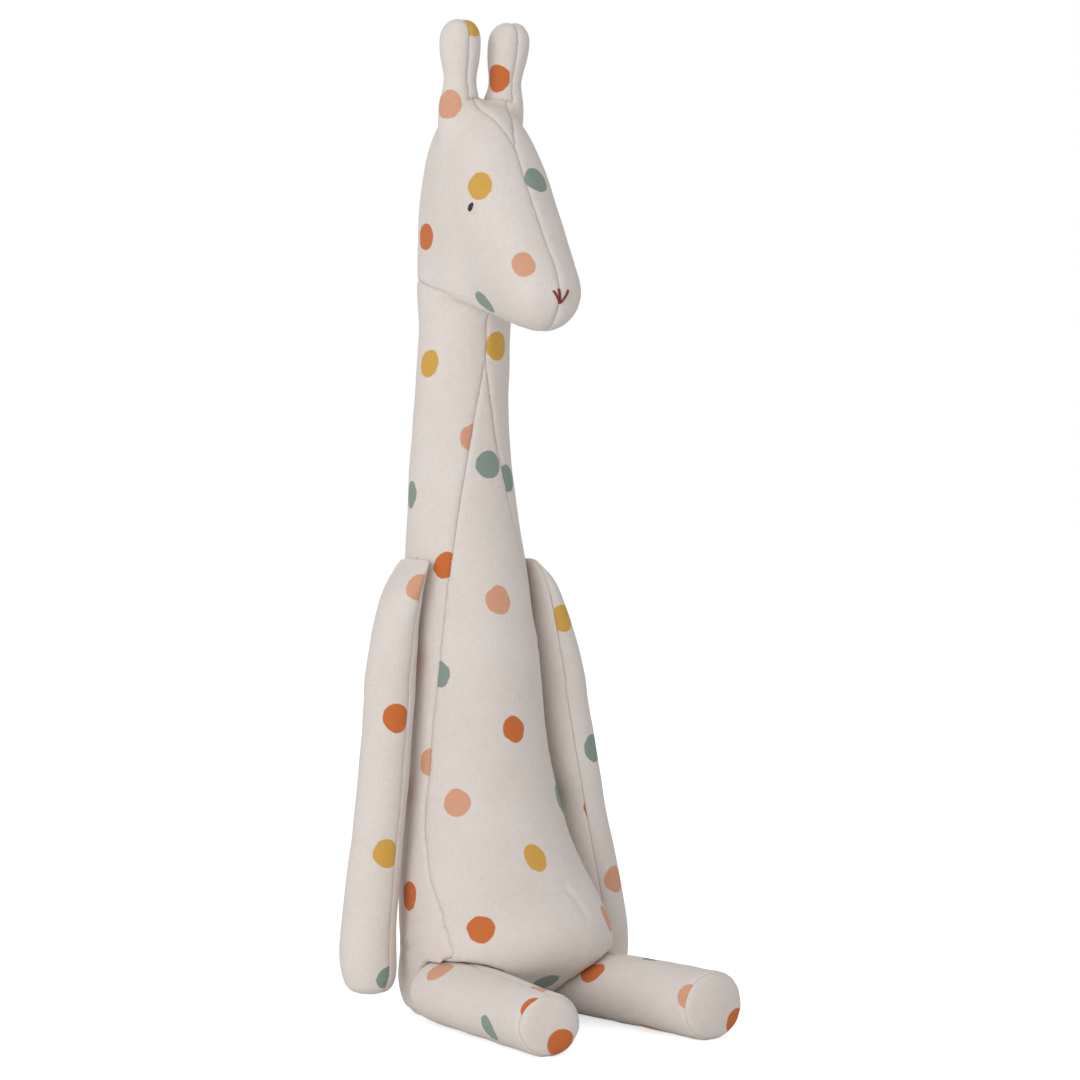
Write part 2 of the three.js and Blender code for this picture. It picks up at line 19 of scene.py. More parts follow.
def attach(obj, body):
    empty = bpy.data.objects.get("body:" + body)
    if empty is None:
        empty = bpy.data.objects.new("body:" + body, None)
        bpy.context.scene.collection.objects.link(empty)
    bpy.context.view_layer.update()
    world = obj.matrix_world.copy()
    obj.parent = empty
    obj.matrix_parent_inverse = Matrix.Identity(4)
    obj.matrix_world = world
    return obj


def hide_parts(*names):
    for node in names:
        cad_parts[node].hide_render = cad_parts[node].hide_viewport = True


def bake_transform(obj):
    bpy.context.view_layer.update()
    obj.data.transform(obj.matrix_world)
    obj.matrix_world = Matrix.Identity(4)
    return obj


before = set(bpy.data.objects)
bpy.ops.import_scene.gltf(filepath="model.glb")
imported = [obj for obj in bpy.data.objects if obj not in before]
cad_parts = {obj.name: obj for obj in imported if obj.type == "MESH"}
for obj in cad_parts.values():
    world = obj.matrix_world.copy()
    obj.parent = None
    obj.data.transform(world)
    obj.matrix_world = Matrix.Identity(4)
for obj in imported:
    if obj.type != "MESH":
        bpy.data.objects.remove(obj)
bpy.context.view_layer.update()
MM = 0.001
SIDES = {"right": -1, "left": 1}

# %% [markdown]
# ## Smooth forms from a few rows
#
# A stuffed limb swells and tapers, and a handful of measured rows says how. Each row holds the middle of the
# limb, half its width, half its depth and how round it is there. A cubic curve through the rows gives every
# ring in between, so the skin has no corners that the cloth wouldn't have.


# %% Rows and rings
def smooth_row(rows, share):
    last = len(rows) - 1
    place = min(max(share, 0.0), 1.0) * last
    at = min(int(place), last - 1)
    t = place - at
    pull_before, before = (0.5, rows[at - 1]) if at > 0 else (-0.5, rows[at + 1])
    pull_after, after = (0.5, rows[at + 2]) if at + 2 <= last else (-0.5, rows[at])
    return (
        before * (-pull_before * t**3 + 2 * pull_before * t**2 - pull_before * t)
        + rows[at] * ((1 + pull_before) * t**3 - (1.5 + 2 * pull_before) * t**2 - (0.5 - pull_before) * t + 1)
        + rows[at + 1] * (-(1 + pull_after) * t**3 + (1.5 + pull_after) * t**2 + 0.5 * t)
        + after * pull_after * (t**3 - t**2)
    )


def ring_points(row, angles):
    middle, side, depth, roundness = row[0:3], row[3:6], row[6:9], row[9]
    across, through = np.cos(angles), np.sin(angles)
    across = np.sign(across) * np.abs(across) ** roundness
    through = np.sign(through) * np.abs(through) ** roundness
    return middle + across[:, None] * side + through[:, None] * depth


# A ring's points stand at equal steps along each half, from one end of the depth axis to the other.
def even_ring(row, count):
    halves = []
    for start in (-math.pi / 2, math.pi / 2):
        fine = ring_points(row, np.linspace(start, start + math.pi, 121))
        along = np.concatenate([[0], np.cumsum(np.linalg.norm(np.diff(fine, axis=0), axis=1))])
        want = np.linspace(0, along[-1], count // 2 + 1)[:-1]
        halves.append(np.stack([np.interp(want, along, fine[:, axis]) for axis in range(3)], axis=1))
    return np.concatenate(halves)


# The rings stand a cloth step apart along the skin, and each end closes in a point. The last ring lies a
# small share of a step from that point.
PROBES = 600
END_STEP = 0.25


def lofted(name, rows, step):
    rows = np.asarray(rows, float)
    shares = np.linspace(0, 1, PROBES)
    probe = np.array([ring_points(smooth_row(rows, share), np.arange(4) * math.pi / 2) for share in shares])
    moves = np.linalg.norm(np.diff(probe, axis=0), axis=2).max(axis=1)
    along = np.concatenate([[0], np.cumsum(moves)])
    girth = max(2 * math.pi * max(np.linalg.norm(row[3:6]), np.linalg.norm(row[6:9])) for row in rows)
    rings = max(int(along[-1] / step), 8)
    around = max(int(girth / step / 2) * 2, 12)
    places = np.interp(np.linspace(0, along[-1], rings + 1)[1:-1], along, shares)
    inner = [np.interp(END_STEP * step, along, shares)]
    outer = [np.interp(along[-1] - END_STEP * step, along, shares)]
    points = [rows[0][0:3]]
    for place in [*inner, *places, *outer]:
        points.extend(even_ring(smooth_row(rows, place), around))
    points.append(rows[-1][0:3])
    count = (len(points) - 2) // around
    faces = []
    for corner in range(around):
        after = (corner + 1) % around
        faces.append((0, 1 + after, 1 + corner))
        faces.append((len(points) - 1, 1 + (count - 1) * around + corner, 1 + (count - 1) * around + after))
        for ring in range(count - 1):
            low, high = 1 + ring * around, 1 + (ring + 1) * around
            faces.append((low + corner, low + after, high + after, high + corner))
    return solid_from(name, points, faces)


def placed(name, data):
    piece = bpy.data.objects.new(name, data)
    bpy.context.scene.collection.objects.link(piece)
    return piece


def solid_from(name, points, faces):
    mesh = bpy.data.meshes.new(name)
    mesh.from_pydata([tuple(point) for point in points], [], faces)
    piece = placed(name, mesh)
    cloth = bmesh.new()
    cloth.from_mesh(mesh)
    bmesh.ops.recalc_face_normals(cloth, faces=cloth.faces)
    if cloth.calc_volume(signed=True) < 0:
        bmesh.ops.reverse_faces(cloth, faces=cloth.faces)
    cloth.to_mesh(mesh)
    cloth.free()
    return piece

# %% [markdown]
# ## Body, neck and head
#
# The body and the neck are one stuffed tube that leans back, and the head is a deep, narrow wedge on top of
# it. The rows are shares of a few sizes, so one size can change without the rest. Each row of the body gives
# a height, its front and back and its half width. Each row of the head gives its top edge, its bottom edge
# and its half width, from the nape forward to the nose.

# %% Sizes of the body and head
THROAT_HEIGHT = 384 * MM
SEAT_HALF_WIDTH = 60 * MM
SEAT_HALF_DEPTH = 78 * MM
HEAD_REACH = 112 * MM
HEAD_HEIGHT = 132 * MM
HEAD_HALF_WIDTH = 27.5 * MM
JAW_ABOVE_THROAT = 13.5 * MM
JAW_RISE = 16 * MM
JAW_SIDE_RISE = 0.3

BODY_SHARES = np.array([
    [-0.0013, 0.06, 0.06, 0, 0.9],
    [0.0004, -0.06, 0.68, 0.7, 0.88],
    [0.008, -0.12, 0.78, 0.82, 0.87],
    [0.027, -0.2, 0.83, 0.88, 0.86],
    [0.058, -0.42, 0.86, 0.93, 0.86],
    [0.095, -0.66, 0.88, 0.95, 0.87],
    [0.145, -0.66, 0.94, 0.93, 0.9],
    [0.212, -0.36, 0.99, 0.87, 0.95],
    [0.29, -0.11, 1.04, 0.79, 1],
    [0.4, 0.05, 1.1, 0.71, 1],
    [0.515, 0.09, 1.14, 0.65, 1],
    [0.635, 0.21, 1.15, 0.59, 1],
    [0.74, 0.335, 1.15, 0.53, 1],
    [0.87, 0.405, 1.12, 0.465, 1],
    [1.0, 0.37, 1.045, 0.44, 1],
    [1.11, 0.4, 1.0, 0.43, 1],
    [1.16, 0.7, 0.7, 0, 1],
])
HEAD_SHARES = np.array([
    [-0.22, 0.5, -0.22, 0.5, 0, 0.9],
    [-0.19, 0.73, -0.215, 0.2, 0.5, 0.88],
    [-0.12, 0.91, -0.19, -0.05, 0.76, 0.8],
    [0.01, 0.985, -0.09, -0.15, 0.92, 0.74],
    [0.19, 1.01, 0.15, -0.14, 0.99, 0.75],
    [0.355, 0.955, 0.36, 0.045, 1.0, 0.9],
    [0.485, 0.83, 0.53, 0.035, 0.97, 0.92],
    [0.63, 0.625, 0.67, 0.005, 0.9, 0.95],
    [0.79, 0.41, 0.79, -0.005, 0.79, 0.96],
    [0.915, 0.25, 0.89, 0.03, 0.6, 1],
    [0.965, 0.14, 0.965, 0.14, 0, 1],
])
body_table = BODY_SHARES * [THROAT_HEIGHT, SEAT_HALF_DEPTH, SEAT_HALF_DEPTH, SEAT_HALF_WIDTH, 1]


def body_row_at(height):
    low, high = 0.0, 1.0
    for _ in range(30):
        middle = (low + high) / 2
        if smooth_row(body_table, middle)[0] < height:
            low = middle
        else:
            high = middle
    return smooth_row(body_table, low)


def body_half_width_at(height, place):
    _, front, back, half_width, roundness = body_row_at(height)
    offset = abs(place - (front + back) / 2) / ((back - front) / 2)
    return half_width * max(1 - offset ** (2 / roundness), 0) ** (roundness / 2)


body_rows = [
    [0, (front + back) / 2, height, half_width, 0, 0, 0, (back - front) / 2, 0, roundness]
    for height, front, back, half_width, roundness in body_table
]
throat_row = body_row_at(THROAT_HEIGHT)
NECK_FRONT = throat_row[1]
NECK_MIDDLE = (throat_row[1] + throat_row[2]) / 2
head_rows = []
for top_forward, top_up, bottom_forward, bottom_up, half_width, roundness in HEAD_SHARES:
    top = np.array([0, NECK_MIDDLE - top_forward * HEAD_REACH, THROAT_HEIGHT + top_up * HEAD_HEIGHT])
    bottom = np.array([0, NECK_MIDDLE - bottom_forward * HEAD_REACH, THROAT_HEIGHT + bottom_up * HEAD_HEIGHT])
    middle, depth = (top + bottom) / 2, (top - bottom) / 2
    head_rows.append([*middle, half_width * HEAD_HALF_WIDTH, 0, 0, *depth, roundness])
print("neck middle", round(NECK_MIDDLE, 4))

# %% [markdown]
# ## Legs, and the hollows that they lie in
#
# Each leg is a tube that is widest in the hip and ends in a round sole. The belly lies on the thighs, so the
# body gets a hollow that follows the top of each thigh, and open room below it for the leg to swing down.

# %% Leg forms
LEG_HALF_WIDTH = 25 * MM
LEG_HALF_HEIGHT = 18.5 * MM
LEG_LENGTH = 125 * MM
LIMB_CLEARANCE = 0.8 * MM
HIP_X = 41 * MM
HIP_Y = -3 * MM
HIP_Z = LEG_HALF_HEIGHT - 0.5 * MM
LEG_SPLAY = math.radians(5)
LOWER = math.radians(85)
ROUND_END = [0.02, 0.3, 0.6, 0.85]
LEG_SHARES = [[0, 1, 1], [0.25, 0.95, 0.98], [0.55, 0.835, 0.96], [0.88, 0.755, 0.94]]
SOLE_SHARES = [[0.968, 0.745, 0.925], [0.985, 0.69, 0.86], [0.998, 0.5, 0.6], [1.006, 0.25, 0.3]]
SOLE_LINE = 0.974
SOLE_TIP = 1.01
SOLE_LOWERED_FROM = 0.925
# The left foot is stuffed fuller than the right one, by this share of its size.
LEFT_FOOT_FULLER = 0.1


def leg_rows(side, grow=0.0):
    rows = [[-LEG_HALF_HEIGHT / LEG_LENGTH, 0, 0]]
    for place in np.sin(np.array(ROUND_END) * math.pi / 2):
        rows.append([-math.sqrt(1 - place**2) * LEG_HALF_HEIGHT / LEG_LENGTH, place, place])
    rows += LEG_SHARES + SOLE_SHARES + [[SOLE_TIP, 0, 0]]
    cos, sin = math.cos(side * LEG_SPLAY), math.sin(side * LEG_SPLAY)
    placed = []
    for share, width, height in rows:
        lowered = (1 - max(height, SOLE_LOWERED_FROM)) * LEG_HALF_HEIGHT if share > 0 else 0
        along = share * LEG_LENGTH
        fuller = 1 + (LEFT_FOOT_FULLER * max(share, 0) if side > 0 else 0)
        lifted = (fuller - 1) * LEG_HALF_HEIGHT
        middle = [side * HIP_X + along * sin, HIP_Y - along * cos, HIP_Z - lowered + lifted]
        half_width = width * LEG_HALF_WIDTH * fuller + (grow if width > 0 else 0)
        half_height = height * LEG_HALF_HEIGHT * fuller + (grow if width > 0 else 0)
        placed.append([*middle, half_width * cos, half_width * sin, 0, 0, 0, half_height, 1])
    return placed


# The room below the thigh: behind it a round end, in front of it nothing, and no higher than the hip.
def swing_room(name, side):
    radius = LEG_HALF_HEIGHT + LIMB_CLEARANCE
    back_angle = LOWER - math.pi / 2
    outline = [
        (HIP_Y + radius * math.cos(angle), HIP_Z + radius * math.sin(angle))
        for angle in np.linspace(0, back_angle, 3)
    ]
    reach = 2 * LEG_LENGTH
    last = outline[-1]
    outline.append((last[0] - reach * math.cos(LOWER), last[1] - reach * math.sin(LOWER)))
    outline.append((HIP_Y - reach, HIP_Z - reach))
    outline.append((HIP_Y - reach, HIP_Z))
    near = HIP_X - LEG_HALF_WIDTH - LIMB_CLEARANCE
    points = [(side * x, y, z) for x in (near, 2 * SEAT_HALF_WIDTH) for y, z in outline]
    count = len(outline)
    faces = [tuple(range(count)), tuple(range(2 * count - 1, count - 1, -1))]
    faces += [(k, (k + 1) % count, count + (k + 1) % count, count + k) for k in range(count)]
    return solid_from(name, points, faces)


def drop(piece):
    bpy.data.objects.remove(piece, do_unlink=True)


def settle_modifiers(piece):
    graph = bpy.context.evaluated_depsgraph_get()
    mesh = bpy.data.meshes.new_from_object(piece.evaluated_get(graph))
    piece.modifiers.clear()
    piece.data = mesh


def take_away(piece, cutter):
    cut = piece.modifiers.new("cut", "BOOLEAN")
    cut.operation, cut.object, cut.solver = "DIFFERENCE", cutter, "EXACT"
    settle_modifiers(piece)
    drop(cutter)


CLOTH_STEP = 3.2 * MM
HORN_STEP = 2 * MM
SKIN_ROUNDS = 3
SOCKET_EASE = 0.5 * MM
torso = lofted("torso_form", body_rows, CLOTH_STEP)
for side_name, side in SIDES.items():
    take_away(torso, swing_room("swing_room_" + side_name, side))
    take_away(torso, lofted("thigh_room_" + side_name, leg_rows(side, SOCKET_EASE), CLOTH_STEP))
print("body form", len(torso.data.vertices), "points")

# %% [markdown]
# ## Horns
#
# Two little clubs stand at the corners of the crown. The outer half of each is one piece with the side of the
# head, and the inner half is a small facing of its own, so a seam runs up the front of each horn, over its
# tip and down its back.

# %% Horn forms
HORN_LENGTH = 47 * MM
HORN_BASE = 9.4 * MM
HORN_KNOB = 12.2 * MM
HORN_X = 14 * MM
HORN_Y = NECK_MIDDLE - 19 * MM
HORN_LEAN = 5 * MM
HORN_SPLAY = 2.4 * MM
HORN_SEAT = 10 * MM
HORN_SHARES = [
    [-0.5, 0, 0], [-0.45, 1, 0], [-0.25, 1.27, 0], [0.02, 1.32, 0], [0.18, 1.28, 0], [0.38, 1, 0],
    [0.56, 0.45, 0.56], [0.72, 0, 1], [0.86, 0, 0.95], [0.96, 0, 0.62], [0.99, 0, 0.3], [1, 0, 0],
]


def horn_rows(side):
    rows = []
    for share, base, knob in HORN_SHARES:
        radius = base * HORN_BASE + knob * HORN_KNOB
        height = THROAT_HEIGHT + HEAD_HEIGHT - HORN_SEAT + share * (HORN_LENGTH + HORN_SEAT)
        middle = [side * (HORN_X + share * HORN_SPLAY), HORN_Y - share * HORN_LEAN, height]
        rows.append([*middle, radius, 0, 0, 0, radius, 0, 1])
    return rows


# %% [markdown]
# ## One skin over body and head
#
# A sewn toy has no step where one stuffed form runs into the next. A voxel remesh throws both forms into one
# skin with even faces, and a little smoothing rounds the edges, as cloth pulled over fibre does.


# %% Joining forms
def joined(name, pieces):
    skin = bmesh.new()
    for piece in pieces:
        skin.from_mesh(piece.data)
        drop(piece)
    mesh = bpy.data.meshes.new(name)
    skin.to_mesh(mesh)
    skin.free()
    return placed(name, mesh)


def even_skin(piece, step, rounds):
    remesh = piece.modifiers.new("even", "REMESH")
    remesh.mode, remesh.voxel_size, remesh.use_smooth_shade = "VOXEL", step, True
    smooth = piece.modifiers.new("round", "SMOOTH")
    smooth.factor, smooth.iterations = 0.5, rounds
    settle_modifiers(piece)


# The cheeks stand a little over the neck, so the head ends at the seam under the chin.
JAW_SLOPE = JAW_RISE / (2 * (NECK_MIDDLE - NECK_FRONT))
FAR = 0.3
FAR_SIDE = 0.1


def below_jaw(name):
    line = [(y, THROAT_HEIGHT + JAW_ABOVE_THROAT + (y - NECK_FRONT) * JAW_SLOPE) for y in (-FAR, FAR)]
    outline = [*line, (FAR, -FAR), (-FAR, -FAR)]
    points = [(x, y, z + abs(x) * JAW_SIDE_RISE) for x in (-FAR_SIDE, 0, FAR_SIDE) for y, z in outline]
    faces = [(0, 1, 2, 3), (11, 10, 9, 8)]
    faces += [(k, (k + 1) % 4, 4 + (k + 1) % 4, 4 + k) for k in range(4)]
    faces += [(4 + k, 4 + (k + 1) % 4, 8 + (k + 1) % 4, 8 + k) for k in range(4)]
    return solid_from(name, points, faces)


head = lofted("head_form", head_rows, CLOTH_STEP)
take_away(head, below_jaw("below_jaw"))
horns = [lofted("horn_form_" + side_name, horn_rows(side), HORN_STEP) for side_name, side in SIDES.items()]
torso = joined("torso_skin", [torso, head, *horns])
even_skin(torso, CLOTH_STEP, SKIN_ROUNDS)
print("torso skin", len(torso.data.vertices), "points")

# %% [markdown]
# ## Filling
#
# Fibre pushes the cloth out between its seams and can't move the seams themselves. The cloth simulation does
# the same: pressure from inside, no gravity, and the points near a seam pinned. A cap keeps each point near
# the measured form, so the toy keeps its outline.


# %% Stuffing with pressure
def points_of(piece):
    flat = np.empty(len(piece.data.vertices) * 3)
    piece.data.vertices.foreach_get("co", flat)
    return flat.reshape(-1, 3)


def set_points(piece, points):
    piece.data.vertices.foreach_set("co", np.asarray(points, float).ravel())
    piece.data.update()


FILL_FRAMES = 20
FILL_PRESSURE = 4.0


def stuff(piece, hold, most):
    before = points_of(piece)
    group = piece.vertex_groups.new(name="sewn")
    for index, weight in enumerate(hold(before)):
        group.add([index], float(weight), "REPLACE")
    cloth = piece.modifiers.new("filling", "CLOTH")
    cloth.settings.quality = 6
    cloth.settings.mass = 0.15
    cloth.settings.tension_stiffness = 15
    cloth.settings.compression_stiffness = 15
    cloth.settings.shear_stiffness = 8
    cloth.settings.bending_stiffness = 0.4
    cloth.settings.use_pressure = True
    cloth.settings.uniform_pressure_force = FILL_PRESSURE
    cloth.settings.vertex_group_mass = "sewn"
    cloth.settings.effector_weights.gravity = 0
    cloth.collision_settings.use_collision = False
    cloth.point_cache.frame_start, cloth.point_cache.frame_end = 1, FILL_FRAMES
    for frame_number in range(1, FILL_FRAMES + 1):
        bpy.context.scene.frame_set(frame_number)
    settle_modifiers(piece)
    piece.vertex_groups.clear()
    bpy.context.scene.frame_set(1)
    move = points_of(piece) - before
    length = np.linalg.norm(move, axis=1)
    kept = most * np.tanh(length / most) / np.maximum(length, 1e-9)
    set_points(piece, before + move * kept[:, None])
    print(piece.name, "filled out by", round(float((length * kept).max() / MM), 2), "mm at most")


def finer(piece):
    piece.modifiers.new("finer", "SUBSURF").levels = 1
    settle_modifiers(piece)


# Points close to a seam hardly move. The flat seat and the hollows over the thighs don't move at all.
HELD_REACH = 7 * MM
HELD_BY_SEAM = 0.8
HELD_LEAST = 0.05
JAW_HELD_REACH = 8 * MM
GUSSET_TOP = 370 * MM
ROOM_TOP = 46 * MM
ROOM_BACK = 22 * MM
FRONT_EDGE = NECK_MIDDLE - 20 * MM
SEAT_HELD_TO = 16 * MM


def near_seams(points):
    x, y, z = points.T
    held = np.exp(-((x / HELD_REACH) ** 2)) * HELD_BY_SEAM
    beside_gusset = np.exp(-((gusset_field(points) / HELD_REACH) ** 2)) * HELD_BY_SEAM
    held = np.where((y < FRONT_EDGE) & (z < GUSSET_TOP), beside_gusset, held)
    jaw = np.exp(-((jaw_field(points) / JAW_HELD_REACH) ** 2))
    seat = np.clip(1.4 - z / SEAT_HELD_TO, 0, 1)
    room = (z < ROOM_TOP) & (y < ROOM_BACK)
    return np.clip(np.maximum.reduce([held, jaw, seat, np.where(room, 1.0, 0.0)]), HELD_LEAST, 1)


# %% [markdown]
# ## Where the seams run
#
# The body is cut as a right and a left side, a long pointed belly gusset from seat to throat, and a seat
# panel. The head is two sides and a small crown gusset between the horns. Each seam is a line on the skin
# where some simple measure is zero, such as the distance from the middle plane.

# %% Seam lines
GUSSET_HALF_WIDTH = 50 * MM
GUSSET_SHARES = np.array([
    [0, 1], [0.14, 1.05], [0.22, 1], [0.39, 0.785], [0.56, 0.64], [0.655, 0.53], [0.81, 0.28],
    [0.89, 0.15], [1, 0],
])
SEAT_LINE = 3 * MM
CROWN_FRONT = NECK_MIDDLE - 58 * MM
CROWN_BACK = NECK_MIDDLE + 14 * MM
CROWN_NARROW_X = HORN_X * 0.52
CROWN_NARROW_Y = CROWN_FRONT + (HORN_Y - CROWN_FRONT) * 0.42
CROWN_LOW = 450 * MM


def seat_field(points):
    return points[:, 2] - SEAT_LINE


def middle_field(points):
    return points[:, 0]


def jaw_field(points):
    above = points[:, 2] - THROAT_HEIGHT - JAW_ABOVE_THROAT - (points[:, 1] - NECK_FRONT) * JAW_SLOPE
    return (above - np.abs(points[:, 0]) * JAW_SIDE_RISE) / math.hypot(1, JAW_SLOPE, JAW_SIDE_RISE)


def gusset_field(points):
    heights = np.append(GUSSET_SHARES[:, 0] * GUSSET_TOP, GUSSET_TOP + 40 * MM)
    widths = np.append(GUSSET_SHARES[:, 1] * GUSSET_HALF_WIDTH, -8 * MM)
    return np.abs(points[:, 0]) - np.interp(points[:, 2], heights, widths)


def crown_field(points):
    outline = [
        (0, CROWN_FRONT), (CROWN_NARROW_X, CROWN_NARROW_Y), (HORN_X, HORN_Y), (0, CROWN_BACK),
    ]
    x, y = np.abs(points[:, 0]), points[:, 1]
    sides = []
    for (x1, y1), (x2, y2) in zip(outline, outline[1:]):
        length = math.hypot(x2 - x1, y2 - y1)
        sides.append(((x - x1) * (y2 - y1) - (y - y1) * (x2 - x1)) / length)
    return np.maximum.reduce(sides)


body_heights = body_table[:, 0]
body_middles = (body_table[:, 1] + body_table[:, 2]) / 2


def in_front(points):
    middle = np.interp(points[:, 2], body_heights, body_middles)
    between_legs = np.abs(points[:, 0]) < HIP_X - LEG_HALF_WIDTH
    low_edge = np.where(between_legs, HIP_Y + LEG_HALF_HEIGHT + LIMB_CLEARANCE, HIP_Y)
    return points[:, 1] < np.where(points[:, 2] < 2 * LEG_HALF_HEIGHT, low_edge, middle)


def on_belly(points):
    return in_front(points) & (points[:, 2] < GUSSET_TOP) & (points[:, 2] > 0)


def on_crown(points):
    return (points[:, 2] > CROWN_LOW) & (horn_base_field(points) < 0)


# Above the base line the skin is a horn's, and the seam runs over its middle. The line dips outward.
HORN_BASE_LINE = 517 * MM
HORN_BASE_X = 12 * MM
HORN_BASE_DIP = 0.25


def horn_base_field(points):
    return points[:, 2] - HORN_BASE_LINE - (HORN_BASE_X - np.abs(points[:, 0])) * HORN_BASE_DIP


def horn_middle_field(points):
    share = (points[:, 2] - THROAT_HEIGHT - HEAD_HEIGHT + HORN_SEAT) / (HORN_LENGTH + HORN_SEAT)
    return np.abs(points[:, 0]) - HORN_X - share * HORN_SPLAY


def on_horns(points):
    return horn_base_field(points) > 0


def inside_horns(points):
    return (horn_middle_field(points) < 1 * MM) & (points[:, 2] > CROWN_LOW)


TORSO_PANELS = [
    "body_side_right", "body_side_left", "belly_gusset", "seat_panel",
    "head_side_right", "head_side_left", "crown_gusset", "horn_right_inner", "horn_left_inner",
]


def torso_panel(points):
    left = (points[:, 0] > 0).astype(int)
    panel = np.where(jaw_field(points) > 0, 4 + left, left)
    panel = np.where(on_belly(points) & (gusset_field(points) < 0), 2, panel)
    panel = np.where(on_crown(points) & (crown_field(points) < 0), 6, panel)
    panel = np.where(on_horns(points) & (horn_middle_field(points) < 0), 7 + left, panel)
    return np.where(seat_field(points) < 0, 3, panel)


# %% [markdown]
# ## Cutting along a seam
#
# The skin's faces don't follow the seams, so each seam is cut in: where an edge crosses the line it gets a
# point there, a point that is nearly on the line slides onto it, and the new points are joined across the
# faces. The seam is then a clean chain of edges that panels can part along.


# %% Seam cutter
SLIDE_SHARE = 0.3


def cut_along(skin, field, where):
    skin.verts.ensure_lookup_table()
    skin.faces.ensure_lookup_table()
    values = list(field(np.array([vert.co for vert in skin.verts])))
    inside = where(np.array([face.calc_center_median() for face in skin.faces]))
    for face, use in zip(skin.faces, inside):
        face.tag = bool(use)
    skin.verts.index_update()
    crossing = [edge for edge in skin.edges if any(face.tag for face in edge.link_faces)]
    for edge in crossing:
        a, b = edge.verts
        low, high = values[a.index], values[b.index]
        if low * high < 0:
            share = low / (low - high)
            if min(share, 1 - share) < SLIDE_SHARE:
                slid = a if share < SLIDE_SHARE else b
                slid.co = a.co.lerp(b.co, share)
                values[slid.index] = 0.0
    on_line = [vert for vert in skin.verts if values[vert.index] == 0.0]
    for edge in crossing:
        a, b = edge.verts
        low, high = values[a.index], values[b.index]
        if low * high < 0:
            on_line.append(bmesh.utils.edge_split(edge, a, low / (low - high))[1])
    bmesh.ops.connect_verts(skin, verts=on_line, check_degenerate=True)


def everywhere(points):
    return np.full(len(points), True)


def cut_skin(piece, *cuts):
    skin = bmesh.new()
    skin.from_mesh(piece.data)
    for field, where in cuts:
        cut_along(skin, field, where)
    skin.to_mesh(piece.data)
    skin.free()


# %% [markdown]
# ## Sewing in
#
# Thread pulls the cloth down to a line, so the skin dips along each seam and puckers a little beside it. The
# dip and the puckers fade with the distance from the seam. After that each panel becomes its own piece,
# whose edge turns in under the next one, as a seam allowance does.

# %% Dips, puckers and turned edges
SEAM_DIP = 0.75 * MM
SEAM_REACH = 1.7 * MM
PUCKER = 0.42 * MM
PUCKER_LENGTH = 6.5 * MM
PUCKER_REACH = 6 * MM
LOOSE_CLOTH = 0.6 * MM
LOOSE_LENGTH = 21 * MM


def uneven(points, length, seed=0.0):
    place = Vector((seed, 1.7 * seed, -seed))
    return np.array([noise.noise(Vector(point) / length + place) for point in points])


def nearest_in(points):
    tree = KDTree(len(points))
    for index, point in enumerate(points):
        tree.insert(point, index)
    tree.balance()
    return tree


def normals_of(piece):
    flat = np.empty(len(piece.data.vertices) * 3)
    piece.data.vertices.foreach_get("normal", flat)
    return flat.reshape(-1, 3)


def face_centres(skin):
    return np.array([face.calc_center_median() for face in skin.faces])


# The places every third of a millimetre along each edge that two panels share.
MARK_STEP = 0.33 * MM


def seam_marks(skin, numbers):
    skin.faces.index_update()
    marks = []
    for edge in skin.edges:
        near = edge.link_faces
        if len(near) == 2 and numbers[near[0].index] != numbers[near[1].index]:
            start, end = (vert.co for vert in edge.verts)
            steps = max(int((end - start).length / MARK_STEP), 1)
            marks += [start.lerp(end, step / steps) for step in range(steps)]
    return nearest_in(marks)


# Two rows of points run beside each seam, so that its edges can be rounded.
EDGE_RINGS = (0.5 * MM, 1.15 * MM)
EDGE_DIP = 0.6 * MM
EDGE_REACH = 0.55 * MM


def sew(piece, panel_of, seed, tight=1.0):
    skin = bmesh.new()
    skin.from_mesh(piece.data)
    tree = seam_marks(skin, panel_of(face_centres(skin)))

    def away_from_seam(points):
        return np.array([tree.find(point)[2] for point in points])

    for ring in EDGE_RINGS:
        cut_along(skin, lambda points: away_from_seam(points) - ring, everywhere)
    skin.to_mesh(piece.data)
    numbers = panel_of(face_centres(skin))
    skin.free()
    points, normals = points_of(piece), normals_of(piece)
    away = away_from_seam(points)
    move = -SEAM_DIP * np.exp(-((away / SEAM_REACH) ** 2)) - EDGE_DIP * np.exp(-((away / EDGE_REACH) ** 2))
    move *= tight
    near = away < 3 * PUCKER_REACH
    pucker = PUCKER * uneven(points[near], PUCKER_LENGTH, seed)
    move[near] += pucker * np.exp(-((away[near] / PUCKER_REACH) ** 2))
    move += LOOSE_CLOTH * uneven(points, LOOSE_LENGTH, seed + 5)
    set_points(piece, points + normals * move[:, None])
    return numbers


TURN_IN = 1.6 * MM
SEAM_HAIR = 0.08 * MM


def turned_edge(cloth, inward):
    rims = [vert for vert in cloth.verts if vert.is_boundary]
    hairs = []
    for vert in rims:
        near = [edge.other_vert(vert).co - vert.co for edge in vert.link_edges if not edge.is_boundary]
        hair = sum(near, Vector((0, 0, 0)))
        hairs.append(hair.normalized() * SEAM_HAIR if hair.length > 0 else hair)
    for vert, hair in zip(rims, hairs):
        vert.co += hair
    down = {vert: inward[vert.index] for vert in rims}
    rim_edges = [edge for edge in cloth.edges if edge.is_boundary]
    made = bmesh.ops.extrude_edge_only(cloth, edges=rim_edges)["geom"]
    for vert in made:
        if isinstance(vert, bmesh.types.BMVert):
            root = next(edge.other_vert(vert) for edge in vert.link_edges if edge.other_vert(vert) in down)
            vert.co += down[root] * TURN_IN


